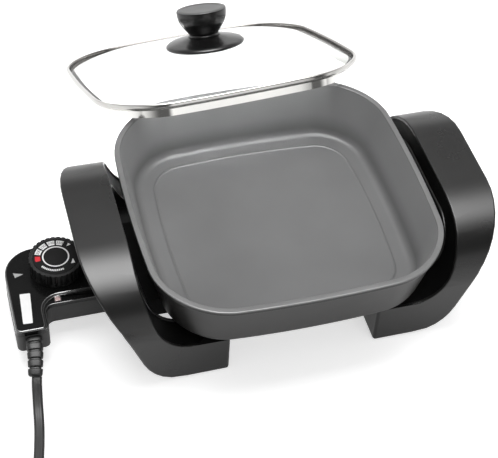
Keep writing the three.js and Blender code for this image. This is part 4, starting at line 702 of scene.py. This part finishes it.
# %% Moulded finish
moulded, taken, given = new_group(
    "Moulded finish",
    [("Dark", "Color", (0.02, 0.02, 0.02, 1)), ("Light", "Color", (0.04, 0.04, 0.04, 1)),
     ("Patch Scale", "Float", 14.0), ("Grain Scale", "Float", 900.0),
     ("Smoothest", "Float", 0.3), ("Roughest", "Float", 0.45)],
    [("Color", "Color"), ("Roughness", "Float"), ("Grain", "Float")],
)
patches = noise(moulded, taken.outputs["Patch Scale"], 4.0)
grain = noise(moulded, taken.outputs["Grain Scale"], 2.0)
colour = mixed(moulded, between(moulded, patches), taken.outputs["Dark"], taken.outputs["Light"])
sheen = between(moulded, patches, taken.outputs["Smoothest"], taken.outputs["Roughest"])
for label, source in (("Color", colour), ("Roughness", sheen), ("Grain", grain)):
    moulded.links.new(source, given.inputs[label])
print("moulded finish", len(moulded.nodes), "nodes")

# %% Brushed lines
brushed, taken, given = new_group(
    "Brushed lines",
    [("Line Scale", "Float", 40.0), ("Stretch", "Vector", (1.0, 1.0, 30.0)),
     ("Smoothest", "Float", 0.08), ("Roughest", "Float", 0.2)],
    [("Roughness", "Float"), ("Grain", "Float")],
)
lines = noise(brushed, taken.outputs["Line Scale"], 3.0, stretch=taken.outputs["Stretch"])
sheen = between(brushed, lines, taken.outputs["Smoothest"], taken.outputs["Roughest"])
brushed.links.new(sheen, given.inputs["Roughness"])
brushed.links.new(lines, given.inputs["Grain"])
print("brushed lines", len(brushed.nodes), "nodes")

# %% Rubbed edges
rubbed, taken, given = new_group(
    "Rubbed edges",
    [("Color", "Color", (0.03, 0.03, 0.03, 1)), ("Rubbed Color", "Color", (0.1, 0.1, 0.1, 1)),
     ("Amount", "Float", 0.5)],
    [("Color", "Color")],
)
SCUFF_SCALE = 60
shape = rubbed.nodes.new("ShaderNodeNewGeometry")
edge = between(rubbed, shape.outputs["Pointiness"], from_low=0.52, from_high=0.6)
broken = between(rubbed, noise(rubbed, SCUFF_SCALE, 3.0))
amount = maths(rubbed, "MULTIPLY", maths(rubbed, "MULTIPLY", edge, broken), taken.outputs["Amount"])
colour = mixed(rubbed, amount, taken.outputs["Color"], taken.outputs["Rubbed Color"])
rubbed.links.new(colour, given.inputs["Color"])
print("rubbed edges", len(rubbed.nodes), "nodes")

# %% Painted shade low down
painted_low_shade, taken, given = new_group(
    "Painted shade low down",
    [("Color", "Color", (0.5, 0.5, 0.5, 1)), ("Shade", "Color", (0.5, 0.5, 0.5, 1)),
     ("Low End", "Float", 0.1), ("High End", "Float", 0.5)],
    [("Color", "Color")],
)
place = painted_low_shade.nodes.new("ShaderNodeTexCoord")
height = painted_low_shade.nodes.new("ShaderNodeSeparateXYZ")
painted_low_shade.links.new(place.outputs["Generated"], height.inputs["Vector"])
rise = between(painted_low_shade, height.outputs["Z"], from_low=taken.outputs["Low End"],
               from_high=taken.outputs["High End"], smooth=True)
shaded = mixed(painted_low_shade, 1, taken.outputs["Color"], taken.outputs["Shade"], "MULTIPLY")
tone = mixed(painted_low_shade, rise, shaded, taken.outputs["Color"])
painted_low_shade.links.new(tone, given.inputs["Color"])
print("darker low down", len(painted_low_shade.nodes), "nodes")

# %% [markdown]
# ## Finishes
# Every finish is one Principled shader. Image textures could carry wear and grain, but the groups
# need no pictures. What is the same all over is set on the shader itself, and what changes over the
# surface comes from the groups. Numbers for the colours are linear light, so a charcoal that looks
# like 22% grey on a screen is written as about 0.04.

# %% Making a finish
def grey(value, warm=0.0):
    """A linear grey, a little warm or cool."""
    return (value * (1 + warm), value, value * (1 - warm), 1)


def new_finish(name, **sockets):
    """A material with one Principled shader and its constants. Underscores stand for spaces."""
    finish = bpy.data.materials.new(name)
    finish.use_nodes = True
    shader = finish.node_tree.nodes["Principled BSDF"]
    for label, value in sockets.items():
        shader.inputs[label.replace("_", " ")].default_value = value
    return finish, finish.node_tree, shader


def place_group(tree, group, **values):
    """Places a shared group in a material with its own values."""
    node = tree.nodes.new("ShaderNodeGroup")
    node.node_tree = group
    for label, value in values.items():
        node.inputs[label.replace("_", " ")].default_value = value
    return node


def add_grain(tree, shader, height, depth, strength=0.3):
    """Turns a height pattern into fine relief. The depth is in millimetres."""
    bump = tree.nodes.new("ShaderNodeBump")
    bump.inputs["Strength"].default_value = strength
    bump.inputs["Distance"].default_value = depth * MM
    tree.links.new(height, bump.inputs["Height"])
    tree.links.new(bump.outputs["Normal"], shader.inputs["Normal"])


def moulded_finish(name, dark, light, smoothest, roughest, patch=14, grain=900, depth=0.05,
                   rub=0.0, rubbed_to=0.1, strength=0.3, **sockets):
    """A moulded or coated surface: slow colour change, uneven sheen, fine grain, rubbed edges."""
    finish, tree, shader = new_finish(name, **sockets)
    base = place_group(tree, moulded, Dark=dark, Light=light, Patch_Scale=patch, Grain_Scale=grain,
                       Smoothest=smoothest, Roughest=roughest)
    colour = base.outputs["Color"]
    if rub:
        worn = place_group(tree, rubbed, Rubbed_Color=grey(rubbed_to), Amount=rub)
        tree.links.new(colour, worn.inputs["Color"])
        colour = worn.outputs["Color"]
    tree.links.new(colour, shader.inputs["Base Color"])
    tree.links.new(base.outputs["Roughness"], shader.inputs["Roughness"])
    add_grain(tree, shader, base.outputs["Grain"], depth, strength)
    return finish


# %% Coatings of the pan
inside_coat = moulded_finish("pan_inside_coat", grey(0.225, -0.005), grey(0.26, -0.005), 0.3, 0.42,
                             patch=9, grain=700, depth=0.04, Specular_IOR_Level=0.5)
coat_tree = inside_coat.node_tree
coat_shader = coat_tree.nodes["Principled BSDF"]
# The pan's floor is darkened to half towards the bottom: painted shade, because the coating is one
# grey.
pan_floor_painted_shade = place_group(coat_tree, painted_low_shade, Shade=grey(0.5), Low_End=0.06, High_End=0.5)
coat_tree.links.new(coat_shader.inputs["Base Color"].links[0].from_socket, pan_floor_painted_shade.inputs["Color"])
coat_tree.links.new(pan_floor_painted_shade.outputs["Color"], coat_shader.inputs["Base Color"])
# The lip has the inside coating again, toned darker for the light that falls on the rim: painted
# shade.
lip_painted_shade_coat = moulded_finish("pan_lip_painted_shade", grey(0.11), grey(0.13), 0.28, 0.36, patch=20, grain=900,
                          depth=0.03, Specular_IOR_Level=1.0)
outside_coat = moulded_finish("pan_outside_coat", grey(0.013, 0.02), grey(0.017, 0.02), 0.32, 0.42,
                              patch=11, grain=800, depth=0.04, rub=0.4, rubbed_to=0.2,
                              Specular_IOR_Level=0.4)
print(len(bpy.data.materials), "materials so far")

# %% Plastics
handle_plastic = moulded_finish("handle_plastic", grey(0.0075, 0.02), grey(0.0095, 0.02), 0.26,
                                0.31, patch=10, grain=1400, depth=0.006, Specular_IOR_Level=0.5)
# Black plastic, made darker than the other blacks for the liners, guards and bridges in the gaps:
# partly real black, partly painted shade.
black_plastic_gap_shade = moulded_finish("black_plastic_painted_gap_shade", grey(0.002), grey(0.004), 0.45, 0.6, patch=16,
                               grain=1100, depth=0.04, rub=0.2, rubbed_to=0.03,
                               Specular_IOR_Level=0.12)
gloss_plastic = moulded_finish("gloss_plastic", grey(0.004), grey(0.006), 0.12, 0.2, patch=18,
                               grain=500, depth=0.008, rub=0.3, rubbed_to=0.06,
                               Specular_IOR_Level=0.14)
# The deck's bevels: glossier, and ten times lighter than the black deck, a painted highlight along
# its edges.
deck_edge_painted_highlight = moulded_finish("painted_edge_highlight", grey(0.04), grey(0.05), 0.12, 0.18, patch=18,
                            grain=500, depth=0.004, Specular_IOR_Level=1.0, Coat_Weight=1.0)
dial_plastic = moulded_finish("dial_plastic", grey(0.004), grey(0.006), 0.25, 0.32, patch=18,
                              grain=500, depth=0.008, rub=0.3, rubbed_to=0.06,
                              Specular_IOR_Level=0.35)
knob_plastic = moulded_finish("knob_plastic", grey(0.004), grey(0.006), 0.2, 0.28, patch=18,
                              grain=500, depth=0.008, Specular_IOR_Level=0.5)
matte_plastic = moulded_finish("control_side_plastic", grey(0.02), grey(0.028), 0.4, 0.5, patch=14,
                               grain=1300, depth=0.04, rub=0.4, Specular_IOR_Level=0.4)
# The knob's top dish, duller and painted lighter than the knob: painted light on the faces that
# look up.
knob_top_painted_light = moulded_finish("knob_top_painted_light", grey(0.075), grey(0.09), 0.38, 0.5, patch=30,
                                  grain=1200, depth=0.03, Specular_IOR_Level=0.5)
print(len(bpy.data.materials), "materials so far")

# %% Rubbers, strap, ceramic and inks
cord_rubber = moulded_finish("cord_sleeve_rubber", grey(0.01), grey(0.015), 0.4, 0.55, patch=22,
                             grain=700, depth=0.05, rub=0.3, rubbed_to=0.05,
                             Specular_IOR_Level=0.4)
pad_rubber = moulded_finish("foot_rubber", grey(0.02), grey(0.035), 0.7, 0.85, patch=30, grain=900,
                            depth=0.08)
strap_weave = moulded_finish("strap_weave", grey(0.01), grey(0.03), 0.8, 0.95, patch=200,
                             grain=1500, depth=0.2, strength=0.8)
bead_ceramic = moulded_finish("white_ceramic", grey(0.62, 0.03), grey(0.72, 0.03), 0.4, 0.6,
                              patch=60, grain=900, depth=0.05)


def ink(name, dark, light, smoothest=0.4, roughest=0.5):
    """A printed colour, which has almost no grain of its own."""
    return moulded_finish(name, dark, light, smoothest, roughest, patch=80, grain=900, depth=0.01)


print_white = ink("print_white", grey(0.74), grey(0.8))
print_grey = ink("print_grey", grey(0.3), grey(0.36))
print_red = ink("print_red", (0.5, 0.01, 0.02, 1), (0.6, 0.02, 0.03, 1), 0.3, 0.4)
print_black = ink("print_black", grey(0.01), grey(0.02))
print(len(bpy.data.materials), "materials so far")

# %% [markdown]
# Polished and plated metals are the same shader with its Metallic at one. The colour is nearly
# flat, and the brushed lines stretch the highlights. Anisotropy would stretch them too, but it
# needs a tangent on every piece, and the lines need none.

# %% Metals
def metal_finish(name, colour, line_scale, stretch, smoothest, roughest, depth):
    """A metal with fine lines."""
    finish, tree, shader = new_finish(name, Metallic=1.0)
    lines = place_group(tree, brushed, Line_Scale=line_scale, Stretch=stretch, Smoothest=smoothest,
                        Roughest=roughest)
    tint = place_group(tree, moulded, Dark=[c * 0.9 for c in colour[:3]] + [1], Light=colour,
                       Patch_Scale=12, Grain_Scale=300)
    tree.links.new(tint.outputs["Color"], shader.inputs["Base Color"])
    tree.links.new(lines.outputs["Roughness"], shader.inputs["Roughness"])
    add_grain(tree, shader, lines.outputs["Grain"], depth, 0.15)
    return finish


band_chrome = metal_finish("band_chrome", (0.95, 0.94, 0.91, 1), 30, (1, 1, 30), 0.04, 0.1, 0.01)
# The roll is the band's chrome, painted darker, and its inner rounding darker still: painted shade.
bead_chrome_painted_shade = metal_finish("bead_chrome_painted_shade", (0.66, 0.65, 0.63, 1), 30, (1, 1, 30), 0.08, 0.16, 0.01)
bead_shade = metal_finish("bead_shade", (0.26, 0.25, 0.24, 1), 30, (1, 1, 30), 0.1, 0.18, 0.01)
skirt_satin = moulded_finish("skirt_satin", (0.78, 0.77, 0.74, 1), (0.84, 0.83, 0.8, 1), 0.45, 0.6,
                             patch=12, grain=900, depth=0.02)
plated_steel = metal_finish("plated_steel", grey(0.6), 60, (1, 1, 12), 0.2, 0.35, 0.02)
contact_brass = metal_finish("contact_brass", (0.75, 0.5, 0.22, 1), 60, (12, 1, 1), 0.2, 0.35, 0.02)
element_steel = metal_finish("element_steel", (0.32, 0.3, 0.28, 1), 40, (1, 1, 10), 0.35, 0.5, 0.03)
print(len(bpy.data.materials), "materials so far")

# %% [markdown]
# Glass is the one finish that lets light through. The lid is clear, with a slight green tint. A
# glass shader alone throws a dark shadow, because lamps can't be seen through it, so for shadow
# rays the glass is mixed with a see-through shader. Thin glass could be faked with transparency
# alone, but then the edge of the dome would not bend what is behind it. The lamp's lens is made in
# the same way, a little rougher, and its faint glow is a painted highlight.

# %% Glass and lens
def clear_finish(name, colour, shadow_colour, smoothest, roughest, clearest=(1, 1, 1, 1)):
    """Glass with faint wipe marks that lets most of the light of the lamps through."""
    finish, tree, shader = new_finish(name, Transmission_Weight=1.0, IOR=1.45,
                                      Specular_IOR_Level=0.5)
    wiped = place_group(tree, moulded, Dark=colour, Light=clearest, Patch_Scale=7, Grain_Scale=120,
                        Smoothest=smoothest, Roughest=roughest)
    tree.links.new(wiped.outputs["Color"], shader.inputs["Base Color"])
    tree.links.new(wiped.outputs["Roughness"], shader.inputs["Roughness"])
    path = tree.nodes.new("ShaderNodeLightPath")
    through = tree.nodes.new("ShaderNodeBsdfTransparent")
    through.inputs["Color"].default_value = shadow_colour
    blend = tree.nodes.new("ShaderNodeMixShader")
    tree.links.new(path.outputs["Is Shadow Ray"], blend.inputs["Fac"])
    tree.links.new(shader.outputs["BSDF"], blend.inputs[1])
    tree.links.new(through.outputs["BSDF"], blend.inputs[2])
    tree.links.new(blend.outputs["Shader"], tree.nodes["Material Output"].inputs["Surface"])
    return finish


clear_glass = clear_finish("clear_glass", (0.88, 0.9, 0.89, 1), grey(0.93), 0.0, 0.015, grey(0.92))
lamp_lens = clear_finish("lens_red", (0.8, 0.66, 0.64, 1), (0.85, 0.6, 0.58, 1), 0.05, 0.1)
# The lens glows faintly: a painted highlight.
lens_painted_highlight_glow = lamp_lens.node_tree.nodes["Principled BSDF"].inputs
lens_painted_highlight_glow["Emission Color"].default_value = (1, 0.85, 0.85, 1)
lens_painted_highlight_glow["Emission Strength"].default_value = 0.1
print(len(bpy.data.materials), "materials")

# %% [markdown]
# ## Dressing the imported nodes
# The handles, bridges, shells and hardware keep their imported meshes. Booleans leave them with
# needless edges and razor-sharp corners, which no moulded part has. Remodelling them would risk
# their sizes. A stack of modifiers welds, merges flat faces, bevels only the true edges and then
# weights the normals, so that flats stay flat and edges catch the light. Where a piece has wide and
# fine roundings, each edge first gets a bevel weight by its place.

# %% Edge weights
WELD_GAP, REAL_EDGE = 0.01 * MM, math.radians(35)


def edge_key(a, b):
    """An edge's middle on a grid of a twentieth of a millimetre, to find the same edge again."""
    return tuple(round(v / MM * 20) for v in (a + b) / 2)


def weigh_edges(piece, rule):
    """Gives each real edge a bevel weight. The rule takes the edge's middle and its two normals."""
    work = bmesh.new()
    work.from_mesh(piece.data)
    bmesh.ops.remove_doubles(work, verts=work.verts, dist=WELD_GAP)
    found = {}
    for edge in work.edges:
        if len(edge.link_faces) == 2 and edge.calc_face_angle(0) > REAL_EDGE:
            a, b = (v.co for v in edge.verts)
            found[edge_key(a, b)] = rule((a + b) / 2, [face.normal for face in edge.link_faces])
    work.free()
    weights = piece.data.attributes.new("bevel_weight_edge", "FLOAT", "EDGE")
    hits = 0
    for edge in piece.data.edges:
        key = edge_key(*(piece.data.vertices[v].co for v in edge.vertices))
        if key in found:
            weights.data[edge.index].value = found[key]
            hits += 1
    return hits


# %% Which edges are wide
WIDE, MIDDLING, FINE = 1.0, 0.4, 0.05
HANDLE_Y, ARCH_Z, FOOT_END, FOOT_LOW = -7, 40, 80, 12
PAD_FROM, PAD_TO, PAD_Y, PAD_HALF, PAD_DEEP = 81, 128, 98, 12, 3
STEP_HIGH, STEP_LOW = 0.4, 6


def handle_edge(middle, normals):
    """Wide where the arch meets the outer side or the foot's end, and fine at the foot pads."""
    x = abs(middle.x - pan_middle.x) / MM
    y, z = (middle.y - pan_middle.y) / MM - HANDLE_Y, middle.z / MM
    outward = math.copysign(1, middle.x - pan_middle.x)
    arch = [n for n in normals
            if abs(n.x) < 0.05 and n.z > -0.5 and n.y * y + n.z * (z - ARCH_Z) > 0]
    side = [n for n in normals if abs(n.y) < 0.05 and n not in arch]
    if x < FOOT_END and (arch or z < FOOT_LOW):
        return WIDE
    pad_recess = z < PAD_DEEP and PAD_FROM < x < PAD_TO and abs(abs(y) - PAD_Y) < PAD_HALF
    if not arch or not side or pad_recess:
        return FINE
    return WIDE if side[0].x * outward > 0.02 or side[0].z < -0.3 else MIDDLING


def deck_edge(middle, normals):
    """Rounding only where the control's deck ends: its top edge, and the edge of the lower step."""
    below = (deck_height - middle.z) / MM
    if below < STEP_HIGH:
        return WIDE
    return MIDDLING if below < STEP_LOW and max(n.z for n in normals) > 0.9 else 0.0


sides, ends = ("right", "left"), ("front", "rear")
for name in [f"{s}_handle" for s in sides]:
    print(name, "weighted edges", weigh_edges(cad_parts[name], handle_edge))
deck_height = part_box("control_upper_shell")[1].z
print("deck's weighted edges", weigh_edges(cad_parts["control_upper_shell"], deck_edge))

# %% Modifier stack
def weigh_normals(piece):
    """Lets big faces decide the shading, so that flats look flat."""
    weigh = piece.modifiers.new("weights", "WEIGHTED_NORMAL")
    weigh.weight = 80
    return weigh


def soften_edges(piece, width, segments=2, flats=1.5, weighted=False):
    """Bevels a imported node's real edges without moving its mesh."""
    piece.data.shade_smooth()
    weld = piece.modifiers.new("weld", "WELD")
    weld.merge_threshold = WELD_GAP
    merge = piece.modifiers.new("merge flats", "DECIMATE")
    merge.decimate_type = "DISSOLVE"
    merge.angle_limit = math.radians(flats)
    merge.delimit = {"MATERIAL"}
    bevel = piece.modifiers.new("edges", "BEVEL")
    bevel.width = width * MM
    bevel.segments = segments
    bevel.limit_method = "WEIGHT" if weighted else "ANGLE"
    bevel.use_clamp_overlap = not weighted
    if len(piece.data.materials) > 1:
        bevel.material = 1
    bevel.angle_limit = REAL_EDGE
    bevel.harden_normals = False
    weigh_normals(piece).keep_sharp = True


def dress(material, width, *names, edge=None, **choices):
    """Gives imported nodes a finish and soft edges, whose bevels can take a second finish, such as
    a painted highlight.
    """
    for name in names:
        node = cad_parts[name]
        node.data.materials.clear()
        for layer in filter(None, (material, edge)):
            node.data.materials.append(layer)
        soften_edges(node, width, **choices)
    print(material.name, "on", len(names), "nodes")


# %% Dressed nodes
dress(handle_plastic, 3.2, *[f"{s}_handle" for s in sides], segments=4, weighted=True, flats=3)
dress(black_plastic_gap_shade, 0.5, *[f"{s}_handle_liner" for s in sides],
      *[f"{s}_heat_guard" for s in sides])
dress(black_plastic_gap_shade, 1.0, *[f"{s}_bridge" for s in sides], "control_nose")
# The deck's bevels take the lighter finish: a painted highlight along the step and the top edge.
dress(gloss_plastic, 1.7, "control_upper_shell", segments=4, weighted=True, edge=deck_edge_painted_highlight)
dress(matte_plastic, 1.4, "control_lower_shell", segments=3)
dress(dial_plastic, 0.35, "dial")
dress(black_plastic_gap_shade, 0.3, "dial_plate")
dress(pad_rubber, 0.5, *[f"{s}_foot_pad_{e}" for s in sides for e in ends], "knob_seal")
dress(plated_steel, 0.3, *[f"{s}_{kind}_screw_{e}" for s in sides for kind in ("pan", "leg")
                           for e in ends],
      *[f"control_screw_{i}" for i in (1, 2, 3)], "knob_screw", "knob_washer")
dress(plated_steel, 0.4, "terminal_shroud", "probe", "thermostat_frame", "dial_shaft")
dress(element_steel, 0.2, "heating_element")
dress(contact_brass, 0.3, *[f"terminal_pin_{e}" for e in ends],
      *[f"contact_sleeve_{e}" for e in ends], *[f"contact_arm_{e}" for e in ends],
      "plug_blade_front", "plug_blade_rear")
dress(bead_ceramic, 0.5, *[f"terminal_insulator_{e}" for e in ends])
dress(lamp_lens, 0.3, "lamp_lens", "indicator_lamp")

# %% Coating the made pieces
def coat(materials, *pieces):
    """Gives made pieces their finishes, and weights their normals."""
    for piece in pieces:
        piece.data.materials.clear()
        for material in materials:
            piece.data.materials.append(material)
        weigh_normals(piece)


coat([cord_rubber], cord, relief, plug)
coat([strap_weave], tie)
coat([outside_coat, inside_coat, lip_painted_shade_coat], pan)
coat([outside_coat], pan_extra, well)
coat([band_chrome, bead_chrome_painted_shade, skirt_satin, bead_shade], band)
coat([clear_glass], glass)
coat([knob_plastic], base)
coat([knob_plastic, knob_top_painted_light], knob)
coat([print_white], ring, boxes, marks, blank_label)
coat([print_grey], pointer)
coat([print_red], red_box)
coat([print_black], numbers)

# %% [markdown]
# Three pieces have more than one finish. The pan is coated differently inside and outside, and its
# lip has a darker copy of the inside coating, a painted shade. The lid's band has a steel roll
# round the glass, painted darker and darker still where it touches the glass, a painted shade, and
# a satin face on the inside of its skirt. The knob has a dull top, painted lighter where it faces
# up, a painted light. They could be cut into separate pieces, but each face can simply be given the
# number of its finish, by its place.

# %% Second finishes
LIP_DEPTH, ROLL_LOW, SHADE_INSET, SATIN_INSET, DISH_REACH = 1.6, -5.3, 2.9, 9.9, 1.5
for face in pan.data.polygons:
    if face.center.z > (RIM - LIP_DEPTH) * MM:
        face.material_index = 2
    elif face.normal.z > 0.05 and face.center.z > (FLOOR - 1) * MM:
        face.material_index = 1
# The roll's faces take the darker copies of the chrome, a painted shade; the skirt's inside takes
# the satin.
faces_per_row = len(band.data.polygons) // len(band_profile)
for face in band.data.polygons:
    row = face.index // faces_per_row
    insets, heights = zip(band_profile[row], band_profile[(row + 1) % len(band_profile)])
    if min(heights) > ROLL_LOW:
        face.material_index = 3 if min(insets) > SHADE_INSET else 1
    elif min(insets) > SATIN_INSET:
        face.material_index = 2
# The knob's dish faces that look up take the lighter finish: painted light.
lid_up = lid_pose.to_3x3() @ Vector((0, 0, 1))
dish_place = on_lid(0, 0, knob_top - DISH_REACH)
for face in knob.data.polygons:
    if (face.center - dish_place).dot(lid_up) > 0 and face.normal.dot(lid_up) > 0.3:
        face.material_index = 1
for piece in (pan, band, knob):
    second = sum(face.material_index > 0 for face in piece.data.polygons)
    print(piece.name, "faces with another finish", second)

# %% [markdown]
# ## Floor, background and light
# The photograph has a white background and soft studio light. The floor is a plain plane that only
# shows the shadow. A shadow catcher would need compositing, so the floor mixes a little light of
# its own with a white diffuse surface. It gives that light to the camera and through the glass, and
# less of it to reflections, so that dark walls don't look lit from below.

# %% Floor
FLOOR_REACH, FLOOR_DROP, FLOOR_LIGHT, MIRRORED_SHARE = 6, 0.0002, 0.55, 0.4
floor_mesh = bpy.data.meshes.new("floor")
corners = [(x * FLOOR_REACH, y * FLOOR_REACH, 0) for x, y in ((-1, -1), (1, -1), (1, 1), (-1, 1))]
floor_mesh.from_pydata(corners, [], [(0, 1, 2, 3)])
floor = bpy.data.objects.new("floor", floor_mesh)
floor.location.z = -FLOOR_DROP
bpy.context.scene.collection.objects.link(floor)
floor_finish, tree, shader = new_finish("floor_white", Base_Color=(0.8, 0.8, 0.8, 1), Roughness=0.9,
                                        Specular_IOR_Level=0.0)
path = tree.nodes.new("ShaderNodeLightPath").outputs
mirrored = maths(tree, "MULTIPLY", path["Is Glossy Ray"], MIRRORED_SHARE)
seen = maths(tree, "MAXIMUM", path["Is Camera Ray"], mirrored)
seen = maths(tree, "MAXIMUM", seen, path["Is Transmission Ray"])
shader.inputs["Emission Color"].default_value = (1, 1, 1, 1)
own_light = maths(tree, "MULTIPLY", seen, FLOOR_LIGHT)
tree.links.new(own_light, shader.inputs["Emission Strength"])
floor.data.materials.append(floor_finish)
print("floor", floor.dimensions.x, "m wide")

# %% [markdown]
# Black plastic shows mostly what it mirrors, so the world is a small studio. The camera sees plain
# white. Reflections see a bright wall behind, a dark front with a few pale strips, and a strong
# patch straight overhead, which draws the bright stripe across each handle's bend. Softboxes could
# draw that stripe too, but a ramp over the ray's height places its edge exactly.

# %% Ramps over directions
world = bpy.data.worlds.new("studio")
bpy.context.scene.world = world
world.use_nodes = True
tree = world.node_tree
path = tree.nodes.new("ShaderNodeLightPath").outputs
split = tree.nodes.new("ShaderNodeSeparateXYZ")
tree.links.new(tree.nodes.new("ShaderNodeTexCoord").outputs["Generated"], split.inputs["Vector"])
across, along, upward = split.outputs


def ramp(share, stops):
    """A brightness for each share, eased from stop to stop."""
    node = tree.nodes.new("ShaderNodeValToRGB")
    node.color_ramp.interpolation = "EASE"
    while len(node.color_ramp.elements) < len(stops):
        node.color_ramp.elements.new(0.5)
    for element, (position, value) in zip(node.color_ramp.elements, stops):
        element.position, element.color = position, (value, value, value, 1)
    tree.links.new(share, node.inputs["Fac"])
    return node.outputs["Color"]


def height_ramp(stops):
    """A brightness for each height of a ray, from straight down (-1) to straight up (1)."""
    lifted = between(tree, upward, from_low=-1, from_high=1)
    return ramp(lifted, [((height + 1) / 2, value) for height, value in stops])


def angle_ramp(stops):
    """A brightness for each compass direction, in degrees from straight in front."""
    angle = maths(tree, "ARCTAN2", across, maths(tree, "MULTIPLY", along, -1))
    spread = between(tree, angle, from_low=-math.pi, from_high=math.pi)
    return ramp(spread, [((degrees + 180) / 360, value) for degrees, value in stops])


print("world", world.name)

# %% Studio to be mirrored
ROOM_LIGHT = 0.42
behind = height_ramp([(-1, 0.9), (0, 1.0), (0.22, 1.5), (0.42, 0.62), (1, 0.55)])
front = height_ramp([(-1, 0.95), (0.28, 1.05), (0.42, 0.08), (0.8, 0.05), (0.92, 0.5)])
strips = angle_ramp([(-60, 1), (-24, 0.1), (-10, 0.1), (0, 1), (25, 1), (32, 0.12), (46, 0.12),
                     (60, 1)])
overhead = height_ramp([(-1, 0), (0.74, 0), (0.84, 0.5), (0.9, 2.2), (0.95, 8), (1, 13)])
depth_share = between(tree, along, from_low=-0.35, from_high=0.1, smooth=True)
walls = mixed(tree, depth_share, mixed(tree, 1, front, strips, "MULTIPLY"), behind)
studio = mixed(tree, 1, walls, overhead, "ADD")
by_ray = tree.nodes.new("ShaderNodeMix")
by_ray.data_type = "FLOAT"
tree.links.new(path["Is Glossy Ray"], by_ray.inputs["Factor"])
by_ray.inputs["A"].default_value = ROOM_LIGHT
tree.links.new(studio, by_ray.inputs["B"])
seen = maths(tree, "MAXIMUM", path["Is Camera Ray"], path["Is Transmission Ray"])
background = tree.nodes["Background"].inputs
background["Color"].default_value = (1, 1, 1, 1)
tree.links.new(maths(tree, "MAXIMUM", by_ray.outputs["Result"], seen), background["Strength"])
print("studio", len(tree.nodes), "nodes")

# %% [markdown]
# Three large lamps give the soft shadow and light the coatings. They are hidden from reflections,
# which see the studio alone. Sun lamps could light the pan as evenly, but their shadows are too
# hard.

# %% Lamps
AIM_HEIGHT = 70


def softbox(name, direction, distance, width, height, watts):
    """A rectangular lamp that faces the pan's middle."""
    lamp = bpy.data.lights.new(name, "AREA")
    lamp.shape, lamp.size, lamp.size_y, lamp.energy = "RECTANGLE", width, height, watts
    stand = bpy.data.objects.new(name, lamp)
    bpy.context.scene.collection.objects.link(stand)
    away = Vector(direction).normalized()
    stand.location = at(0, 0, AIM_HEIGHT) + away * distance
    stand.rotation_mode = "QUATERNION"
    stand.rotation_quaternion = away.to_track_quat("Z", "Y")
    stand.visible_glossy = False


softbox("overhead_softbox", (0, 0.15, 0.98), 2.2, 1.9, 1.2, 44)
softbox("front_fill", (0.15, -0.85, 0.5), 2.3, 2.0, 1.2, 14)
softbox("right_fill", (1, 0.1, 0.55), 2.2, 1.2, 1.2, 4)
print(len(bpy.data.lights), "lamps")

# %% [markdown]
# ## Last settings
# The Standard view keeps written colours as they are.

# %% Finish
bpy.context.scene.view_settings.view_transform = "Standard"
